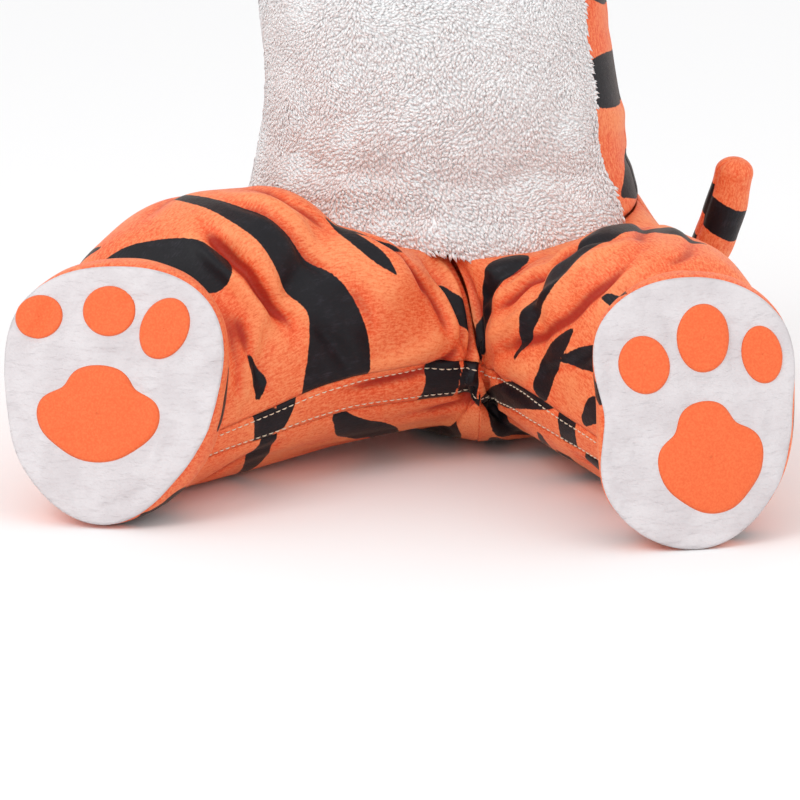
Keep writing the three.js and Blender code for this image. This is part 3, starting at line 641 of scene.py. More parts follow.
# %% White satin of the soles, orange pads, white plush and cream thread
def sole_satin():
    finish = Finish("sole_satin", (0.7, 0.655, 0.67), 0.5, sheen=0.25, sheen_roughness=0.4)
    weave = finish.noise(finish.place("UV", (1.0, 0.35, 1.0), turn=30), 1700.0, 2.0, 0.6)
    cloud = finish.noise(finish.place("Object"), 38.0, 4.0, 0.6)
    crinkle = finish.noise(finish.place("Object", (1.0, 1.0, 2.2)), 75.0, 4.0, 0.55)
    finish.color(finish.blend(cloud.soft(0.35, 0.65), (0.64, 0.595, 0.61), (0.71, 0.67, 0.685)))
    finish.rough(0.4 + cloud * 0.2)
    finish.relief((crinkle, 1.0, 0.0032), (weave, 0.4, 0.0003))
    return finish.material


def pad_velour():
    finish = Finish("pad_velour", (0.93, 0.14, 0.035), 0.65, sheen=0.06, sheen_roughness=0.4,
                    sheen_tint=(1, 0.7, 0.5))
    speckle = finish.noise(finish.place("Object"), 800.0, 3.0, 0.65)
    finish.color(finish.blend(speckle.soft(0.35, 0.7), (0.84, 0.13, 0.035), (0.9, 0.18, 0.055)))
    finish.rough(0.48 + speckle * 0.2)
    finish.relief((speckle, 0.4, 0.0003))
    return finish.material


def white_plush():
    finish = Finish("white_plush", (0.96, 0.97, 0.98), 0.9, sheen=0.9, sheen_roughness=0.5)
    cloud = finish.noise(finish.place("Object"), 55.0, 3.0, 0.6)
    strand = finish.noise(finish.place("Object", (1.0, 1.0, 0.4)), 620.0, 3.0, 0.6)
    base = finish.blend(cloud.soft(0.3, 0.7), (0.965, 0.975, 0.985), (0.985, 0.99, 0.995))
    finish.color(finish.blend(strand.soft(0.6, 0.35) * 0.15, base, (0.9, 0.9, 0.91)))
    finish.rough(0.82 + strand * 0.14)
    finish.relief((cloud, 0.4, 0.003), (strand, 0.35, 0.0006))
    return finish.material


def cream_thread():
    finish = Finish("cream_thread", (0.8, 0.7, 0.52), 0.6, sheen=0.2)
    twist = finish.noise(finish.place("Object"), 2500.0, 1.0, 0.5)
    finish.color(finish.blend(twist, (0.72, 0.6, 0.42), (0.88, 0.8, 0.64)))
    finish.relief((twist, 0.5, 0.0001))
    return finish.material


VELOUR, SATIN, PAD, PLUSH, THREAD = (
    striped_velour(), sole_satin(), pad_velour(), white_plush(), cream_thread())
print("finishes", [m.name for m in (VELOUR, SATIN, PAD, PLUSH, THREAD)])


# %% [markdown]
# ## Stripes and creases
# A row of each stripe is turn, along and half width, so a stripe is a brush stroke that swells and
# tapers. The stripes cross the seams unevenly, as cut cloth does. The creases fan out from the hips and
# from the crotch, where a seated leg pulls the cloth, and the hidden sides have similar ones. Not all
# places were chosen by hand: the rows for the shown side of the legs, stripes and creases alike, the last
# two stripes of leg_back_right, the last three of leg_back_left and the front ends of the first two
# stripes of the body come from the output of measuring scripts, with few points moved or added.

# %% The stripes of the legs: turn, along, half width in millimetres
LEG_STRIPES = {
    "leg_front_right": [
        [(343, 0.6, 3), (349, 0.63, 5), (7, 0.665, 7), (29, 0.69, 9.5), (45, 0.68, 11.5),
         (61, 0.65, 13), (74, 0.635, 15), (84, 0.635, 18), (91, 0.64, 20.5),
         (100, 0.65, 22), (110, 0.65, 22)],
        [(344, 1.0, 4), (354, 0.975, 9), (6, 0.955, 12), (20, 0.935, 14), (35, 0.92, 14.5)],
        [(24, 0.44, 1), (33, 0.44, 3.5), (46, 0.455, 5), (56, 0.45, 4.5), (64, 0.445, 1)],
        [(22, 0.4, 3), (36, 0.405, 5), (47, 0.35, 3), (52, 0.33, 1)],
        [(75, 0.18, 1), (82, 0.16, 5), (88, 0.13, 6), (94, 0.11, 2)],
        [(84, 0.885, 1), (89, 0.875, 3.5), (94, 0.855, 5.5), (99, 0.862, 2)],
        [(316, 0.4, 2), (304, 0.37, 7), (290, 0.35, 10), (276, 0.34, 10)],
        [(318, 0.62, 2), (302, 0.6, 8), (284, 0.58, 9), (270, 0.57, 9)],
        [(330, 0.87, 2), (314, 0.84, 8), (296, 0.81, 9), (276, 0.79, 10)],
        [(334, 0.2, 2), (314, 0.15, 8), (292, 0.12, 11), (274, 0.12, 11)],
    ],
    "inseam_band_right": [
        [(88, 0.775, 6), (97, 0.765, 6.5), (104, 0.77, 6.5), (114, 0.78, 6)],
        [(98, 0.85, 7), (108, 0.835, 7.5), (118, 0.815, 7.5), (128, 0.8, 7)],
        [(90, 0.385, 11), (104, 0.4, 12), (112, 0.41, 12), (124, 0.43, 13)],
        [(100, 0.1, 7), (112, 0.12, 8), (126, 0.14, 8)],
    ],
    "leg_back_right": [
        [(119, 0.62, 5), (130, 0.57, 11), (141, 0.5, 13), (158, 0.44, 9), (172, 0.42, 3)],
        [(122, 0.79, 6), (134, 0.78, 8), (150, 0.74, 8), (170, 0.72, 3)],
        [(216, 0.44, 2), (238, 0.37, 9), (262, 0.34, 12), (286, 0.33, 11)],
        [(196, 0.62, 2), (222, 0.6, 9), (252, 0.56, 11), (286, 0.55, 10)],
        [(206, 0.84, 3), (232, 0.82, 9), (262, 0.78, 11), (286, 0.77, 10)],
        [(160, 0.96, 3), (184, 0.95, 9), (214, 0.98, 4)],
        [(140, 0.24, 3), (164, 0.2, 11), (190, 0.16, 12), (214, 0.18, 6), (224, 0.2, 2)],
        [(236, 0.14, 3), (258, 0.12, 10), (286, 0.13, 11)],
        [(222, 0.02, 3), (224, 0.08, 8), (228, 0.17, 9), (238, 0.27, 2)],
        [(214, 0.0, 7), (218, 0.07, 8), (222, 0.15, 9), (226, 0.25, 3)],
    ],
    "leg_front_left": [
        [(0, 0.45, 8), (11, 0.52, 10), (27, 0.6, 11), (40, 0.62, 10.5), (54, 0.615, 9),
         (68, 0.58, 7), (81, 0.583, 5), (90, 0.56, 1.5)],
        [(71, 0.8, 2), (76, 0.78, 5), (84, 0.745, 7.5), (90, 0.715, 8), (97, 0.69, 8)],
        [(84, 0.79, 2), (81, 0.85, 6), (77, 0.93, 8), (74, 1.0, 9)],
        [(48, 0.88, 1), (46, 0.91, 3), (44, 0.96, 4.5), (43, 1.0, 5)],
        [(0, 0.455, 4), (354, 0.5, 8), (350, 0.57, 8), (346, 0.63, 6), (338, 0.665, 1.5)],
        [(44, 0.24, 8), (54, 0.26, 9.5), (62, 0.28, 9), (74, 0.26, 7), (84, 0.235, 5),
         (96, 0.13, 4), (106, 0.05, 2)],
        [(92, 0.985, 6), (96, 0.94, 8), (102, 0.89, 4)],
        [(324, 0.48, 2), (308, 0.44, 8), (288, 0.41, 10), (270, 0.4, 11)],
        [(322, 0.76, 2), (306, 0.72, 8), (288, 0.7, 10), (270, 0.68, 11)],
        [(316, 0.96, 4), (296, 0.93, 10), (270, 0.92, 10)],
        [(336, 0.26, 2), (316, 0.2, 7), (292, 0.17, 11), (270, 0.17, 11)],
        [(10, 0.3, 2), (352, 0.34, 7), (338, 0.38, 2)],
    ],
    "inseam_band_left": [
        [(126, 0.3, 6), (114, 0.42, 8), (105, 0.56, 9), (100, 0.7, 8), (94, 0.8, 7)],
        [(94, 0.805, 6), (104, 0.795, 9), (116, 0.78, 9), (128, 0.765, 9)],
        [(98, 0.98, 6), (110, 0.96, 6), (126, 0.95, 6)],
    ],
    "leg_back_left": [
        [(114, 0.95, 5), (122, 0.89, 9), (132, 0.84, 9), (146, 0.86, 3)],
        [(112, 0.24, 4), (128, 0.28, 8), (144, 0.33, 10), (162, 0.36, 11), (184, 0.33, 8), (202, 0.3, 2)],
        [(124, 0.63, 3), (140, 0.6, 8), (160, 0.6, 10), (182, 0.6, 9), (204, 0.62, 3)],
        [(212, 0.46, 2), (238, 0.42, 9), (268, 0.4, 12), (286, 0.39, 11)],
        [(218, 0.72, 2), (246, 0.7, 9), (276, 0.67, 11), (286, 0.67, 11)],
        [(224, 0.94, 4), (252, 0.92, 10), (286, 0.92, 10)],
        [(148, 0.14, 3), (170, 0.12, 11), (196, 0.12, 12), (218, 0.14, 5)],
        [(232, 0.2, 3), (256, 0.18, 10), (286, 0.17, 11)],
        [(224, 0.0, 6), (225, 0.06, 9), (230, 0.13, 8), (236, 0.2, 2)],
        [(214, 0.03, 3), (219, 0.09, 8), (224, 0.15, 9), (230, 0.22, 3)],
        [(204, 0.02, 6), (207, 0.09, 8), (212, 0.17, 6), (216, 0.24, 2)],
    ],
}
# on the ankle pieces: turn, share from the ankle seam to the sole seam, half width
FOOT_STRIPES = {
    "right": [
        [(334, 0.2, 8), (350, 0.1, 15), (12, -0.1, 16), (34, 0.0, 10)],
        [(150, 0.5, 12), (162, 0.45, 22), (176, 0.5, 12)],
        [(228, 0.5, 4), (252, 0.4, 12), (280, 0.45, 6)],
        [(80, 0.6, 3), (92, 0.5, 9), (104, 0.6, 3)],
    ],
    "left": [
        [(68, 0.2, 9), (74, 0.5, 10), (80, 0.9, 6)],
        [(38, 0.0, 5), (34, 0.6, 4), (30, 0.9, 1)],
        [(126, 0.3, 8), (138, 0.5, 14), (152, 0.4, 5)],
        [(236, 0.4, 5), (262, 0.5, 13), (290, 0.4, 6)],
        [(186, 0.5, 4), (200, 0.5, 11), (214, 0.5, 4)],
    ],
}
# on the body: turn, share from the waist to the neck, half width
BODY_STRIPES = [
    [(52, 0.37, 8), (68, 0.365, 17), (92, 0.35, 17), (118, 0.36, 12), (146, 0.4, 2)],
    [(70, 0.06, 3), (86, 0.07, 15), (106, 0.08, 14), (132, 0.1, 9), (156, 0.13, 2)],
    [(62, 0.62, 4), (84, 0.61, 13), (108, 0.62, 12), (136, 0.64, 3)],
    [(24, 0.93, 2), (48, 0.88, 8), (76, 0.84, 10), (110, 0.86, 9), (142, 0.88, 2)],
    [(120, 0.24, 2), (146, 0.23, 10), (170, 0.25, 10), (184, 0.27, 3)],
    [(140, 0.5, 2), (160, 0.5, 10), (178, 0.53, 9)],
    [(150, 0.76, 2), (168, 0.76, 9), (182, 0.79, 7)],
    [(-58, 0.2, 4), (-78, 0.2, 13), (-104, 0.19, 14), (-130, 0.2, 9), (-154, 0.23, 2)],
    [(-60, 0.47, 4), (-82, 0.46, 14), (-108, 0.45, 13), (-138, 0.47, 3)],
    [(-58, 0.7, 3), (-82, 0.7, 12), (-110, 0.71, 11), (-142, 0.73, 2)],
    [(-24, 0.94, 2), (-50, 0.9, 8), (-80, 0.87, 9), (-112, 0.89, 8), (-140, 0.9, 2)],
    [(-120, 0.05, 2), (-146, 0.04, 10), (-172, 0.06, 11), (-184, 0.08, 5)],
    [(-126, 0.34, 2), (-150, 0.35, 10), (-176, 0.37, 10), (-185, 0.39, 4)],
    [(-140, 0.6, 2), (-160, 0.61, 9), (-178, 0.63, 9)],
    [(-150, 0.83, 2), (-168, 0.84, 8), (-180, 0.87, 6)],
    [(-6, 0.9, 1), (0, 0.86, 5), (5, 0.9, 2)],
]
# on a sleeve: turn, millimetres from the shoulder, half width
SLEEVE_STRIPES = [
    [(-60, 38, 2), (-20, 34, 9), (30, 36, 10), (80, 42, 8), (120, 48, 2)],
    [(150, 66, 2), (190, 60, 9), (240, 62, 10), (290, 72, 3)],
    [(-70, 82, 2), (-30, 76, 8), (20, 78, 9), (70, 86, 7), (110, 90, 1)],
    [(140, 112, 2), (180, 104, 8), (230, 106, 9), (280, 116, 2)],
    [(-60, 126, 2), (-20, 120, 8), (30, 122, 8), (85, 130, 5), (110, 134, 1)],
    [(130, 152, 2), (170, 146, 8), (220, 148, 8), (270, 156, 2)],
    [(-50, 164, 2), (0, 160, 7), (50, 162, 7), (90, 168, 1)],
]

# %% The main creases: places, width and depth in millimetres, a trough below zero
LEG_CREASES = {
    "right": [
        ([(10, 0.76), (20, 0.8), (29, 0.82), (44, 0.84), (59, 0.815), (72, 0.75), (84, 0.74)], 4.5, -6.5),
        ([(12, 0.84), (26, 0.875), (37, 0.885), (57, 0.87), (73, 0.8), (84, 0.78)], 5, 3.4),
        ([(14, 0.72), (26, 0.755), (39, 0.775), (56, 0.76), (73, 0.705), (82, 0.69)], 4.5, 3),
        ([(350, 0.45), (4, 0.5), (18, 0.52), (27, 0.49), (36, 0.47)], 4, -2.8),
        ([(356, 0.56), (14, 0.585), (28, 0.57), (46, 0.56), (62, 0.56)], 5, 2.6),
        ([(2, 0.62), (20, 0.64), (38, 0.62), (56, 0.6), (70, 0.6)], 4, -2.4),
        ([(30, 0.4), (45, 0.365), (56, 0.35), (67, 0.345), (81, 0.35)], 4, -3.4),
        ([(34, 0.49), (52, 0.51), (66, 0.505), (80, 0.48)], 6, 2),
        ([(59, 0.37), (73, 0.315), (85, 0.325), (94, 0.375)], 4, -3),
        ([(68, 0.26), (80, 0.25), (91, 0.27), (99, 0.36)], 4, 2.6),
        ([(60, 0.22), (74, 0.195), (86, 0.2), (98, 0.24)], 3.6, -3),
        ([(66, 0.08), (80, 0.1), (92, 0.13), (104, 0.2)], 3.4, 2.6),
        ([(72, 0.03), (86, 0.06), (98, 0.1), (108, 0.2)], 3.2, -2.8),
        ([(106, 0.66), (105, 0.56), (103, 0.46), (98, 0.37), (93, 0.28), (90, 0.16)], 3.6, -3.4),
        ([(97, 0.62), (97, 0.52), (93, 0.42), (88, 0.32)], 6, 2.6),
        ([(80, 0.7), (86, 0.66), (93, 0.63), (99, 0.61)], 3.4, -2.6),
        ([(76, 0.66), (84, 0.62), (92, 0.59)], 4, 2),
        ([(66, 0.58), (80, 0.56), (92, 0.56)], 5, -1.8),
        ([(58, 0.94), (74, 0.91), (88, 0.87), (100, 0.82)], 4, -3),
        ([(50, 0.97), (70, 0.96), (90, 0.94), (104, 0.91)], 4, -2.2),
        ([(62, 0.86), (78, 0.85), (92, 0.9), (104, 0.95)], 4, 2.4),
        ([(336, 0.35), (342, 0.6), (348, 0.8)], 6, -2),
        ([(100, 0.01), (106, 0.06), (113, 0.14), (116, 0.24)], 4, 3.6),
        ([(112, 0.05), (120, 0.18), (126, 0.36), (128, 0.52)], 5, -3),
        ([(128, 0.08), (140, 0.25), (146, 0.45), (148, 0.7)], 7, 2.2),
        ([(124, 0.72), (136, 0.8), (150, 0.86), (170, 0.88)], 6, -2.4),
        ([(150, 0.3), (172, 0.36), (196, 0.34), (216, 0.28)], 7, -2.2),
        ([(226, 0.08), (244, 0.22), (256, 0.4), (262, 0.62)], 6, -2.6),
        ([(212, 0.12), (230, 0.3), (240, 0.5)], 8, 2.2),
        ([(300, 0.06), (292, 0.24), (284, 0.44), (280, 0.66)], 7, 2),
        ([(316, 0.1), (308, 0.3), (300, 0.5), (296, 0.74)], 6, -2.4),
        ([(250, 0.7), (268, 0.78), (290, 0.82), (310, 0.86)], 6, -2),
        ([(206, 0.7), (224, 0.82), (236, 0.94)], 6, 2),
    ],
    "left": [
        ([(91, 0.2), (80, 0.3), (68, 0.4), (50, 0.45), (35, 0.54), (20, 0.6), (6, 0.6)], 4.5, -4),
        ([(92, 0.29), (85, 0.41), (76, 0.51), (61, 0.62), (44, 0.7), (24, 0.7), (8, 0.66)], 4.5, 3),
        ([(94, 0.365), (88, 0.5), (82, 0.61), (70, 0.74), (51, 0.83), (30, 0.83), (10, 0.74)], 4.5, -4),
        ([(86, 0.14), (76, 0.23), (66, 0.29), (50, 0.3), (30, 0.26)], 4, -3.4),
        ([(88, 0.25), (74, 0.35), (58, 0.39), (40, 0.44), (24, 0.5)], 4, 2.8),
        ([(93, 0.6), (89, 0.73), (81, 0.865), (71, 0.955)], 4, -3.2),
        ([(96, 0.5), (92, 0.63), (86, 0.77), (78, 0.86)], 4, 2.6),
        ([(60, 0.94), (48, 0.9), (34, 0.9), (18, 0.88)], 4.5, 2.4),
        ([(350, 0.3), (356, 0.45), (2, 0.6), (8, 0.74)], 5, -2.4),
        ([(342, 0.3), (346, 0.5), (350, 0.7)], 6, 2.2),
        ([(340, 0.56), (348, 0.72), (358, 0.84), (10, 0.92)], 5, -2.4),
        ([(66, 0.07), (80, 0.1), (92, 0.16), (102, 0.26)], 3.4, -3),
        ([(74, 0.03), (92, 0.08), (104, 0.14), (112, 0.24)], 3.2, 3),
        ([(94, 0.05), (106, 0.12), (112, 0.22), (116, 0.34)], 3.2, -3),
        ([(104, 0.68), (104, 0.56), (102, 0.46), (98, 0.36)], 3.4, -2.8),
        ([(108, 0.02), (116, 0.12), (120, 0.26), (121, 0.4)], 3.4, 2.6),
        ([(114, 0.06), (124, 0.2), (128, 0.38), (130, 0.56)], 5, -3),
        ([(130, 0.1), (142, 0.28), (148, 0.5), (150, 0.72)], 7, 2.2),
        ([(126, 0.74), (138, 0.82), (154, 0.88)], 6, -2.2),
        ([(154, 0.28), (176, 0.34), (200, 0.32), (218, 0.26)], 7, -2.2),
        ([(228, 0.1), (246, 0.24), (258, 0.42), (264, 0.64)], 6, -2.6),
        ([(300, 0.08), (294, 0.26), (288, 0.46), (284, 0.68)], 7, 2),
        ([(318, 0.12), (310, 0.32), (304, 0.54), (300, 0.78)], 6, -2.4),
        ([(246, 0.72), (266, 0.8), (290, 0.84), (312, 0.88)], 6, -2),
        ([(208, 0.66), (224, 0.8), (238, 0.92)], 6, 2),
    ],
}
BODY_CREASES = [
    ([(70, 0.16), (92, 0.12), (118, 0.14), (142, 0.2)], 6, -2),
    ([(64, 0.27), (90, 0.24), (116, 0.26)], 7, 1.6),
    ([(84, 0.5), (112, 0.46), (140, 0.5), (160, 0.56)], 7, -1.8),
    ([(58, 0.5), (72, 0.62), (84, 0.72), (92, 0.8)], 5, -1.6),
    ([(100, 0.7), (118, 0.76), (140, 0.76)], 5, -1.8),
    ([(130, 0.32), (150, 0.36), (172, 0.34)], 6, -1.6),
    ([(-66, 0.1), (-90, 0.08), (-118, 0.12), (-146, 0.14)], 6, -2.2),
    ([(-70, 0.32), (-96, 0.3), (-124, 0.34)], 7, 1.6),
    ([(-82, 0.56), (-110, 0.52), (-140, 0.56), (-164, 0.6)], 7, -1.8),
    ([(-60, 0.54), (-74, 0.66), (-86, 0.76)], 5, -1.6),
    ([(-128, 0.24), (-150, 0.27), (-172, 0.25)], 6, -1.6),
    ([(-150, 0.7), (-168, 0.72), (-180, 0.7)], 6, -1.4),
]
SLEEVE_CREASES = [
    ([(-40, 30), (0, 42), (40, 46), (80, 40)], 6, -2),
    ([(60, 66), (110, 72), (150, 66), (190, 60)], 6, -2),
    ([(-80, 74), (-40, 84), (0, 88), (50, 82)], 7, -1.8),
    ([(160, 96), (200, 104), (250, 104), (290, 96)], 6, -2),
    ([(20, 112), (60, 120), (110, 118), (150, 112)], 6, -1.6),
    ([(220, 132), (260, 140), (310, 138), (350, 132)], 6, -1.8),
    ([(100, 150), (150, 156), (200, 152)], 5, -1.4),
]
SOLE_CREASES = {
    "right": [
        ([(-34, 66), (-44, 40), (-58, 20)], 4, -2.4),
        ([(20, 68), (16, 20), (22, -14)], 4, -1.8),
        ([(46, 6), (56, -10), (60, -30)], 4, -2.4),
        ([(-60, -6), (-50, -26), (-40, -52)], 5, -2.4),
        ([(34, -40), (18, -58), (-2, -66)], 4, -2.2),
        ([(-20, 22), (-2, 26), (16, 22)], 4, -1.4),
        ([(50, 40), (60, 30), (66, 16)], 3.5, 1.8),
        ([(-66, 20), (-62, 4), (-62, -14)], 3.5, 1.8),
        ([(8, 70), (12, 58), (26, 60)], 3, -1.6),
        ([(40, -12), (30, -34), (34, -54)], 3.5, 1.6),
        ([(-40, -40), (-24, -56), (-10, -72)], 3.5, 1.6),
    ],
    "left": [
        ([(-52, 50), (-50, 22), (-54, 0)], 4, -2.2),
        ([(24, 62), (22, 36), (26, 12)], 4, -1.8),
        ([(-12, 14), (6, 18), (22, 12)], 4, -1.5),
        ([(50, -8), (54, -28), (50, -48)], 4, -2.4),
        ([(-50, -20), (-46, -44), (-36, -62)], 5, -2.4),
        ([(-20, -66), (0, -72), (22, -70)], 4, -2),
        ([(-56, -30), (-58, -14), (-58, 4)], 3.5, 1.8),
        ([(-18, 60), (-14, 48), (-18, 34)], 3, -1.6),
        ([(42, 4), (36, -14), (44, -34)], 3.5, 1.6),
        ([(-40, -6), (-36, -30), (-28, -50)], 3.5, -1.6),
    ],
}

# %% [markdown]
# ## The body
# The front and the two back halves are plain panels from the waist to the neck. The armholes are cut
# where the sleeves start, so the sleeve cloth simply begins inside them.

# %% Body panels, binding and back lap
BODY_ROWS = 90
ARMHOLE_RADIUS, ARMHOLE_FROM = 37, 20
BINDING_HEIGHT = 10.5


def body_middle(grid):
    return grid * (0, 0, 1)


def in_armhole(points):
    """Where the body cloth is cut away, inside the root of a sleeve."""
    rise = math.radians(SLEEVE_RISE)
    gone = np.zeros(len(points), bool)
    for side in (1, -1):
        ahead = unit(np.array([side * math.cos(rise), -0.1, math.sin(rise)]))
        root = sleeve_point(side, np.array([0.0, 180.0]), np.array([0.0, 0.0])).mean(0)
        off = points - root
        off = off - (off @ ahead)[..., None] * ahead
        gone |= (np.linalg.norm(off, axis=-1) < ARMHOLE_RADIUS) & (points[:, 0] * side > ARMHOLE_FROM)
    return gone


def body_piece(name, node, first, last, columns, seed):
    turn, share = np.meshgrid(np.linspace(first, last, columns), np.linspace(0.002, 0.998, BODY_ROWS))
    grid = bodice_point(turn, share)
    relief = crease_depth(bodice_point, BODY_CREASES, grid) + 0.7 * ripple(grid, 60, seed)
    field = stripe_field(bodice_point, BODY_STRIPES, grid)
    piece = lay_cloth(name, grid, body_middle(grid), relief, inside=field, hole=in_armhole)
    finish_cloth(piece, [node], VELOUR)
    return piece


def binding():
    turn, share = np.meshgrid(np.linspace(0, 360, 181), np.linspace(0, 1, 9))
    grid = bodice_at(turn, SHOULDER + share * BINDING_HEIGHT, 0.5 - 3 * share)
    relief = 1.2 * np.sin(np.pi * share) + 0.15 * np.sin(turn * TURNS * 90)
    field = stripe_field(bodice_point, BODY_STRIPES, grid)
    piece = lay_cloth("neck_edge", grid, body_middle(grid), relief, wall=2.4, closed=True, inside=field)
    finish_cloth(piece, ["neck_binding"], VELOUR)


def back_lap():
    turn, share = np.meshgrid(np.linspace(171, 189, 26), np.linspace(0.03, 0.993, BODY_ROWS))
    grid = bodice_point(turn, share)
    relief = 0.3 * ripple(grid, 40, 5)
    field = stripe_field(bodice_point, BODY_STRIPES, grid)
    piece = lay_cloth("back_lap", grid, body_middle(grid), relief, lift=2.3, inside=field)
    finish_cloth(piece, ["back_placket"], VELOUR)


binding()
body_piece("front", "torso_front", -89.9, 89.9, 150, 1)
body_piece("back_left", "torso_back_left", 90.1, 179.9, 80, 2)
body_piece("back_right", "torso_back_right", 180.1, 269.9, 80, 3)
back_lap()

# %% Sleeves
SLEEVE_START, CUFF_SEAM = 18, 12
for side, name in ((1, "left"), (-1, "right")):
    turn, along = np.meshgrid(np.linspace(0, 360, 121), np.linspace(SLEEVE_START, SLEEVE_LENGTH, 62))
    on_sleeve = lambda t, a, side=side: sleeve_point(side, t, a)
    grid = on_sleeve(turn, along)
    middle = grid[:, :-1].mean(axis=1, keepdims=True)
    relief = crease_depth(on_sleeve, SLEEVE_CREASES, grid) + 0.6 * ripple(grid, 45, 7 + side)
    relief = relief + 1.0 * np.exp(-(((along - SLEEVE_LENGTH + CUFF_SEAM) / 1.6) ** 2)) * -1
    field = stripe_field(on_sleeve, SLEEVE_STRIPES, grid)
    piece = lay_cloth(f"sleeve_cloth_{name}", grid, middle, relief, closed=True, inside=field, pucker=False)
    finish_cloth(piece, [f"sleeve_{name}"], VELOUR)

# %% [markdown]
# ## Legs and feet
# Each leg is a front, an inseam band and a back, sewn into one baggy tube from the waist to the ankle,
# and then a short gusset of cloth round the foot. The two stitch lines on the band are thread, so they
# are small solid stitches that follow the cloth.

# %% Leg panels
LEG_ROWS = 106
SEAM_GAP = 0.1
band_from = lambda along: curve(BAND_ALONG, BAND_FROM, along)
band_to = lambda along: curve(BAND_ALONG, BAND_TO, along)
LEG_PIECES = [
    ("leg_front", 128, lambda a: np.full_like(a, OUTSEAM - 360 + SEAM_GAP),
     lambda a: band_from(a) - SEAM_GAP, 0.0),
    ("inseam_band", 14, lambda a: band_from(a) + SEAM_GAP, lambda a: band_to(a) - SEAM_GAP, 0.02),
    ("leg_back", 112, lambda a: band_to(a) + SEAM_GAP, lambda a: np.full_like(a, OUTSEAM - SEAM_GAP), 0.0),
]


def leg_relief(name, grid):
    surface = lambda t, a: leg_point(name, t, a)
    fine = 0.55 * ripple(grid, 30, 21 + len(name)) + 0.9 * ripple(grid, 75, 31 + len(name))
    return 1.2 * crease_depth(surface, LEG_CREASES[name], grid) + fine


def stitches(name, lines, length=3.4, gap=1.4, thick=0.42):
    """Short rounded stitches along lines of points, as one mesh; each line has its outward directions."""
    points, faces = [], []
    for line, out in lines:
        run = np.concatenate([[0], np.cumsum(np.linalg.norm(np.diff(line, axis=0), axis=1))])
        for start in np.arange(2, run[-1] - length - 1, length + gap):
            at = np.linspace(start, start + length, 4)
            mid = np.stack([np.interp(at, run, line[:, k]) for k in range(3)], axis=-1)
            facing = unit(np.stack([np.interp(at, run, out[:, k]) for k in range(3)], axis=-1))
            way = unit(mid[-1] - mid[0])
            side = unit(np.cross(np.broadcast_to(way, facing.shape), facing))
            size = np.array([0.45, 1, 1, 0.45]) * thick
            rise = np.array([-0.15, 0.25, 0.25, -0.15])
            first = len(points)
            for k in range(4):
                for corner in range(6):
                    c, s = math.cos(corner * math.pi / 3), math.sin(corner * math.pi / 3)
                    points.append(mid[k] + facing[k] * (rise[k] + s * size[k] * 0.8) + side[k] * c * size[k])
            for k in range(3):
                for corner in range(6):
                    a, b = first + k * 6 + corner, first + k * 6 + (corner + 1) % 6
                    faces.append((a, b, b + 6, a + 6))
            faces.append(tuple(first + c for c in range(5, -1, -1)))
            faces.append(tuple(first + 18 + c for c in range(6)))
    mesh = bpy.data.meshes.new(name)
    mesh.from_pydata(to_frame(np.array(points)).tolist(), [], faces)
    mesh.polygons.foreach_set("use_smooth", [True] * len(mesh.polygons))
    mesh.materials.append(THREAD)
    piece = bpy.data.objects.new(name, mesh)
    bpy.context.collection.objects.link(piece)
    fix_normals(piece)
    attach(piece, "root")
    return piece


def fix_normals(piece):
    bpy.context.view_layer.objects.active = piece
    piece.select_set(True)
    bpy.ops.object.mode_set(mode="EDIT")
    bpy.ops.mesh.select_all(action="SELECT")
    bpy.ops.mesh.normals_make_consistent(inside=False)
    bpy.ops.object.mode_set(mode="OBJECT")
    piece.select_set(False)


for name in ("right", "left"):
    surface = lambda t, a, name=name: leg_point(name, t, a)
    for piece_name, columns, first, last, start in LEG_PIECES:
        along = np.linspace(0, 1, LEG_ROWS) ** 1.15 * (0.998 - start) + start + 0.0005
        rows = along[:, None] + np.zeros(columns)
        turn = first(along)[:, None] + (last(along) - first(along))[:, None] * np.linspace(0, 1, columns)
        grid = surface(turn, rows)
        middle = leg_middle(name, rows)
        relief = leg_relief(name, grid)
        field = stripe_field(surface, LEG_STRIPES[f"{piece_name}_{name}"], grid)
        piece = lay_cloth(f"{piece_name}_cloth_{name}", grid, middle, relief, inside=field)
        if piece_name == "inseam_band":
            out = normals_of(grid, middle, False)
            high = grid + out * (relief + 0.1)[..., None]
            lines = [(high[:, k], out[:, k]) for k in (2, columns - 3)]
            thread = stitches(f"band_stitches_{name}", lines)
        finish_cloth(piece, [f"{piece_name}_{name}"], VELOUR)

# %% Feet, soles and pads
SOLE_CUT = (0.135, 0.155)
PAD_ALLOWANCE = 2.1
# centre x y, half width, half height, tilt
PADS = {
    "right": [
        ("toe_pad_1", -44, 46, 15, 13, 12),
        ("toe_pad_2", -1, 51, 16, 15, 0),
        ("toe_pad_3", 33, 42, 14.5, 19, -24),
        ("heel_pad", -5, -10, 38, 29, 0),
    ],
    "left": [
        ("toe_pad_1", -31, 28, 15, 17, 10),
        ("toe_pad_2", 5, 42, 16, 20, -6),
        ("toe_pad_3", 40, 31, 12.5, 17, 8),
        ("heel_pad", 6, -27, 32, 33, 8),
    ],
}


def pad_edge(turn, half_width, half_height, tilt, heel):
    """The outline of a pad: an oval, or a heel with a lobe on top and one on each side."""
    s, c = np.sin(turn * TURNS), np.cos(turn * TURNS)
    lobe = 1.0
    if heel:
        off_top = np.abs(np.mod(turn + 180, 360) - 180)
        lobe = (1 - 0.21 * np.exp(-(((off_top - 48) / 20) ** 2))
                - 0.05 * np.exp(-(((off_top - 138) / 22) ** 2)))
    x, y = s * half_width * lobe, c * half_height * lobe
    a = math.radians(tilt)
    return x * math.cos(a) - y * math.sin(a), x * math.sin(a) + y * math.cos(a)


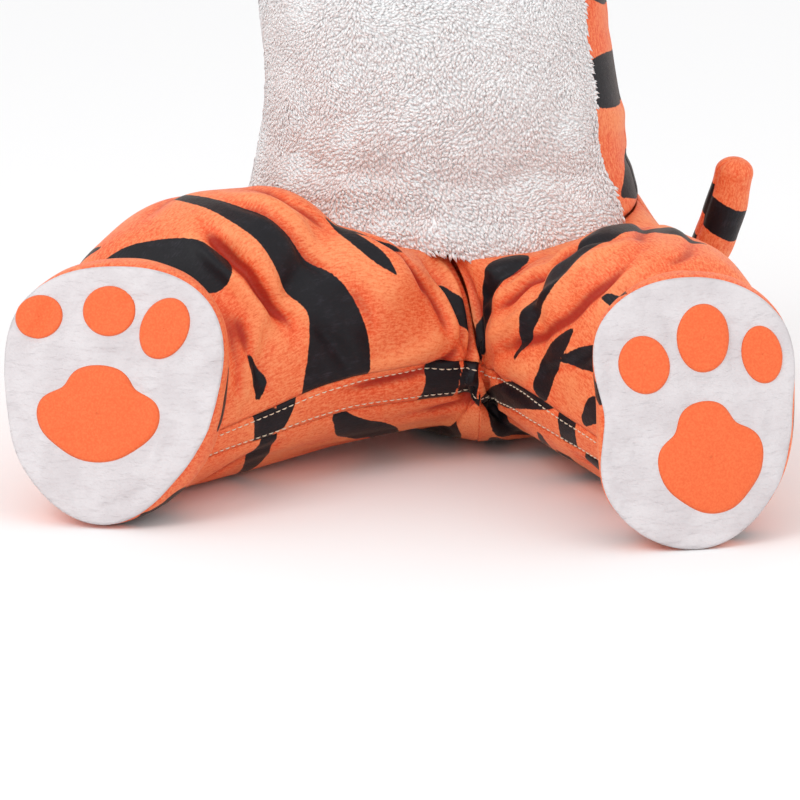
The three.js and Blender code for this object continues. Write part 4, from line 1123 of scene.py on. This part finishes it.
def sole_relief(name, x, y):
    flat = np.stack([x, y, np.zeros_like(x)], axis=-1)
    plane = lambda a, b: places(a, b, 0.0)
    shape = flat.shape[:-1]
    depth = np.zeros(int(np.prod(shape)))
    points = flat.reshape(-1, 3)
    for rows, width, deep in SOLE_CREASES[name]:
        rows = np.array(rows, float)
        keys = np.linspace(0, len(rows) - 1, 18)
        line = plane(curve(np.arange(len(rows)), rows[:, 0], keys),
                     curve(np.arange(len(rows)), rows[:, 1], keys))
        far, _, share = off_line(points, line, np.ones(18), np.linspace(0, 1, 18))
        fade = smoothstep(share, 0, 0.35) * (1 - smoothstep(share, 0.65, 1))
        depth += deep * (0.1 + 0.9 * fade) * np.exp(-(far / width) ** 2)
    place = sole_point(name, points[:, 0], points[:, 1])
    return (depth + 0.7 * ripple(place, 34, 51) + 0.35 * ripple(place, 13, 52)).reshape(shape)


def disc_cloth(name, foot, edge, centre, rings, lift, relief, wall):
    """A round piece in the plane of a sole, from rings about its centre that start just off it, leaving a
    pinhole.
    """
    turn, share = np.meshgrid(np.linspace(0, 360, 145), np.linspace(0.004, 1, rings))
    x, y = edge(turn)
    x, y = centre[0] + x * share, centre[1] + y * share
    roll = -1.3 * smoothstep(share, 0.93, 1.0) ** 2
    grid = sole_point(foot, x, y, lift + relief(x, y) + roll)
    inner = sole_point(foot, x, y, lift - 400)
    return lay_cloth(name, grid, inner, 0.0 * x, wall=wall, closed=True, pucker=False)


for name in ("right", "left"):
    turn, share = np.meshgrid(np.linspace(0, 360, 221), np.linspace(0.004, 0.985, 26))
    grid = foot_point(name, turn, share)
    middle = grid[:, :-1].mean(axis=1, keepdims=True)
    relief = 0.7 * ripple(grid, 22, 61) + 0.5 * ripple(grid, 50, 62)
    on_foot = lambda t, s, name=name: foot_point(name, t, s)
    field = stripe_field(on_foot, FOOT_STRIPES[name], grid)
    piece = lay_cloth(f"foot_cloth_{name}", grid, middle, relief, closed=True, inside=field)
    finish_cloth(piece, [f"foot_{name}"], VELOUR)
    rim = lambda t, name=name: sole_edge(name, t, 0.4)
    piece = disc_cloth(f"sole_cloth_{name}", name, rim, (0, 0), 44, 2.4,
                       lambda x, y, n=name: sole_relief(n, x, y), 1.6)
    piece["cut_width"], piece["cut_length"] = SOLE_CUT
    finish_cloth(piece, [f"sole_{name}"], SATIN)
    for pad, x, y, half_width, half_height, tilt in PADS[name]:
        edge = lambda t, w=half_width, h=half_height, a=tilt, p=pad: pad_edge(t, w, h, a, p == "heel_pad")
        relief = lambda a, b, n=name: sole_relief(n, a, b)
        piece = disc_cloth(f"{pad}_cloth_{name}", name, edge, (x, y), 16, 3.6, relief, 1.4)
        piece["cut_width"] = half_width * PAD_ALLOWANCE / 1000
        piece["cut_length"] = half_height * PAD_ALLOWANCE / 1000
        finish_cloth(piece, [f"{pad}_{name}"], PAD)


# %% [markdown]
# ## The plush tummy panel
# The panel is one cut sheet of plush, laid on the front with its lower edge free. Its pile is made of
# small tapering locks, each leaning its own way over its neighbours, because the fuzzy outline is a shape
# and a bump alone would leave the edge smooth.

# %% The plush backing
def panel_edge(share):
    taper = smoothstep(share, 0.64, 0.82)
    reach = lambda turn: turn + (np.sign(turn) * PANEL_TOP_TURN - turn) * taper
    return reach(HEM_TURN[0]), reach(HEM_TURN[-1])


def panel_grid(columns, rows):
    share = np.linspace(0.004, 0.996, rows)
    first, last = panel_edge(share)
    turn = first[:, None] + (last - first)[:, None] * np.linspace(0.003, 0.997, columns)
    return turn, share[:, None] + np.zeros(columns)


PANEL_CREASES = [
    ([(-70, 0.1), (-40, 0.06), (-10, 0.1), (20, 0.08)], 9, -1.6),
    ([(-60, 0.24), (-30, 0.2), (0, 0.25)], 11, -1.2),
    ([(10, 0.2), (30, 0.24), (50, 0.2)], 9, -1.4),
    ([(-64, 0.55), (-44, 0.42), (-30, 0.28)], 10, -1.2),
    ([(50, 0.6), (42, 0.44), (34, 0.3)], 9, -1.2),
]
turn, share = panel_grid(120, 100)
grid = tummy_point(turn, share)
relief = crease_depth(tummy_point, PANEL_CREASES, grid) + 0.8 * ripple(grid, 26, 71)
backing = lay_cloth("plush_backing", grid, body_middle(grid), relief, lift=2.6, wall=1.6, pucker=False)


# %% The pile: small locks that lie over one another
def plush_pile(name, low, high, rows, seed):
    """Locks of pile from one share of the panel's height to another, as one piece."""
    draw = np.random.default_rng(seed)
    columns = 142
    share = np.linspace(low, high, rows)
    first, last = panel_edge(share)
    turn = first[:, None] + (last - first)[:, None] * np.linspace(0.002, 0.998, columns)
    share = share[:, None] + np.zeros(columns)
    border = (np.arange(columns) < 1) | (np.arange(columns) > columns - 2)
    border = border[None, :] | (share < 0.006) | (share > 0.994)
    turn = np.clip(turn + draw.uniform(-0.5, 0.5, turn.shape), *(e[:, None] for e in panel_edge(share[:, 0])))
    share = np.clip(share + draw.uniform(-0.5, 0.5, turn.shape) * (high - low) / rows, 0.001, 0.999)
    root = tummy_point(turn, share)
    side = unit(tummy_point(turn + 0.4, share) - tummy_point(turn - 0.4, share))
    down = unit(tummy_point(turn, share - 0.004) - tummy_point(turn, share + 0.004))
    out = unit(np.cross(side, down))
    out = out * np.sign((out * (root - body_middle(root))).sum(-1, keepdims=True))
    swirl = 3.0 * ripple(root, 42, 81) + 0.35 * draw.normal(size=turn.shape)
    lean = down * np.cos(swirl)[..., None] + side * np.sin(swirl)[..., None]
    across = unit(np.cross(lean, out))
    swell = crease_depth(tummy_point, PANEL_CREASES, root) + 0.8 * ripple(root, 26, 71)
    base = root + out * (2.3 + swell)[..., None]
    length = np.where(border, 5.6, 4.4) + 0.9 * draw.uniform(-1, 1, turn.shape)
    rise = np.where(border, 0.26, 0.24) + 0.08 * draw.uniform(-1, 1, turn.shape)
    points = []
    for along, lift, width in ((0.0, 0.0, 1.35), (0.5, 0.85, 1.1)):
        spine = base + lean * (along * length)[..., None] + out * (lift * rise * length)[..., None]
        for corner in range(3):
            angle = corner * 2.0944 + 0.5
            points.append(spine + across * width * math.cos(angle) + out * width * 0.7 * math.sin(angle))
    points.append(base + lean * length[..., None] + out * (rise * length * 1.1)[..., None])
    points = np.stack([p.reshape(-1, 3) for p in points], axis=1)
    pattern = [(0, 2, 1)]
    for a in range(3):
        b = (a + 1) % 3
        pattern += [(a, b, b + 3), (a, b + 3, a + 3), (a + 3, b + 3, 6)]
    faces = (np.array(pattern)[None] + 7 * np.arange(len(points))[:, None, None]).reshape(-1, 3)
    mesh = bpy.data.meshes.new(name)
    mesh.from_pydata(to_frame(points.reshape(-1, 3)).tolist(), [], faces.tolist())
    mesh.polygons.foreach_set("use_smooth", [True] * len(mesh.polygons))
    mesh.materials.append(PLUSH)
    piece = bpy.data.objects.new(name, mesh)
    bpy.context.collection.objects.link(piece)
    fix_normals(piece)
    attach(piece, "root")
    print(name, "locks:", len(points), "triangles:", len(faces))
    return piece


pile = [plush_pile("plush_pile_low", 0.001, 0.5, 115, 12), plush_pile("plush_pile_high", 0.5, 0.999, 115, 13)]
finish_cloth(backing, ["tummy_panel"], PLUSH)


# %% [markdown]
# ## The tail
# The tail is a tube of the same velour filled with loose stuffing, so it is round and soft, with shallow
# dents between its fuller parts and a seam along one side where the stripes don't quite meet.

# %% A stuffed tube on its centre line
DOME_RINGS, DOME_LENGTH = 11, 11


def tail_skin(rings, steps):
    keys = TAIL[:, 0]
    along = np.linspace(0, 1, rings)
    centre = np.stack([curve(keys, TAIL[:, k], along) for k in (1, 2, 3)], axis=-1)
    radius = curve(keys, TAIL[:, 4], along)
    ahead = unit(np.gradient(centre, axis=0))
    across = [np.array([1.0, 0, 0])]
    for k in range(rings):
        side = across[-1] - (across[-1] @ ahead[k]) * ahead[k]
        across.append(side / np.linalg.norm(side))
    across = np.array(across[1:])
    up = np.cross(ahead, across)
    run = np.concatenate([[0], np.cumsum(np.linalg.norm(np.diff(centre, axis=0), axis=1))])
    turn = np.linspace(0, 360, steps + 1)
    c, s = np.cos(turn * TURNS), np.sin(turn * TURNS)
    dome_share = np.linspace(0, 1, DOME_RINGS + 1)[1:]
    dome_radius = radius[-1] * np.sqrt(np.maximum(1 - dome_share ** 2, 0.0025))
    centre = np.concatenate([centre, centre[-1] + ahead[-1] * (dome_share * DOME_LENGTH)[:, None]])
    run = np.concatenate([run, run[-1] + dome_share * DOME_LENGTH])
    radius = np.concatenate([radius, dome_radius])
    across = np.concatenate([across, np.repeat(across[-1:], DOME_RINGS, 0)])
    up = np.concatenate([up, np.repeat(up[-1:], DOME_RINGS, 0)])
    full = 1 + 0.03 * np.sin(run / 13) + 0.02 * np.sin(run / 5.1 + 1)
    ring = across[:, None] * s[None, :, None] + up[:, None] * c[None, :, None]
    grid = centre[:, None] + ring * (radius * full * 0.97)[:, None, None]
    return grid, centre, run, turn


# millimetres down from the tip, half width
TAIL_BANDS = [(41, 11), (80, 10), (119, 9), (160, 11), (200, 10), (240, 10), (280, 11)]
grid, centre, run, turn = tail_skin(150, 64)
seam = 75
off_seam = np.mod(turn - seam, 360)
slip = np.where(off_seam < 60, 7.0, 0.0)
place = (run[-1] - run[:, None] + slip[None, :] + 3.2 * np.sin(turn * TURNS)[None, :]
         + 1.2 * ripple(grid, 25, 93))
field = np.max([width - np.abs(place - at) for at, width in TAIL_BANDS], axis=0)
groove = (-1.0 * np.exp(-((np.minimum(off_seam, 360 - off_seam) / 7) ** 2))[None, :]
          + 0.35 * ripple(grid, 14, 91))
skin = lay_cloth("tail_cloth", grid, centre[:, None], groove, wall=0, closed=True, inside=field, pucker=False)
bpy.context.view_layer.objects.active = skin
skin.select_set(True)
bpy.ops.object.mode_set(mode="EDIT")
bpy.ops.mesh.select_all(action="SELECT")
bpy.ops.mesh.fill_holes(sides=0)
bpy.ops.mesh.normals_make_consistent(inside=False)
bpy.ops.object.mode_set(mode="OBJECT")
skin.select_set(False)
skin.data.materials.append(VELOUR)
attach(skin, "root")
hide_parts("tail")

# %% [markdown]
# ## Floor, light and camera
# The suit is shown as worn, so it floats at its real height over a pale floor, just under the seat and
# the heels.

# %% Floor and lights
bpy.ops.mesh.primitive_plane_add(size=30, location=(0, 0, (FLOOR - 1.0 - SHOULDER) / 1000))
floor = bpy.context.object
floor.name = "studio_floor"
bpy.ops.object.transform_apply(location=True)
paper = Finish("studio_paper", (0.94, 0.94, 0.945), 0.9)
paper.rough(0.85 + paper.noise(paper.place("Object"), 3.0) * 0.1)
floor.data.materials.append(paper.material)
floor.select_set(False)

world = bpy.data.worlds.new("studio")
world.use_nodes = True
world.node_tree.nodes["Background"].inputs["Color"].default_value = (1, 1, 1, 1)
world.node_tree.nodes["Background"].inputs["Strength"].default_value = 1.0
bpy.context.scene.world = world
bpy.context.scene.view_settings.view_transform = "Standard"


def soft_light(name, place, aim, size, power):
    data = bpy.data.lights.new(name, "AREA")
    data.shape, data.size, data.energy = "SQUARE", size, power
    lamp = bpy.data.objects.new(name, data)
    bpy.context.collection.objects.link(lamp)
    lamp.location = place
    lamp.rotation_euler = (Vector(aim) - Vector(place)).to_track_quat("-Z", "Y").to_euler()


soft_light("key_light", (-0.9, -1.5, 1.3), (0, -0.1, -0.25), 0.9, 11)
soft_light("fill_light", (1.6, -1.2, 0.6), (0, -0.1, -0.25), 1.2, 2)

# %% Camera
AZIMUTH, ELEVATION, DISTANCE = math.radians(7), math.radians(14), 2.0
back = np.array([math.sin(AZIMUTH) * math.cos(ELEVATION), -math.cos(AZIMUTH) * math.cos(ELEVATION),
                 math.sin(ELEVATION)])
right = unit(np.cross(-back, (0, 0, 1)))
above = np.cross(right, -back)
FOCAL_PX, PICTURE_PX, SENSOR_MM = 2940, 800, 36
AIM_RIGHT_PX, AIM_UP_PX = -40, 17
aim = ((right * (AIM_RIGHT_PX / FOCAL_PX) + above * (AIM_UP_PX / FOCAL_PX)) * DISTANCE
       + (-NECK_SHIFT / 1000, 0, -SHOULDER / 1000))
camera = bpy.data.objects.new("camera", bpy.data.cameras.new("camera"))
bpy.context.collection.objects.link(camera)
camera.data.lens = SENSOR_MM * FOCAL_PX / PICTURE_PX
camera.location = aim + back * DISTANCE
camera.rotation_euler = Vector(back).to_track_quat("Z", "Y").to_euler()
bpy.context.scene.camera = camera
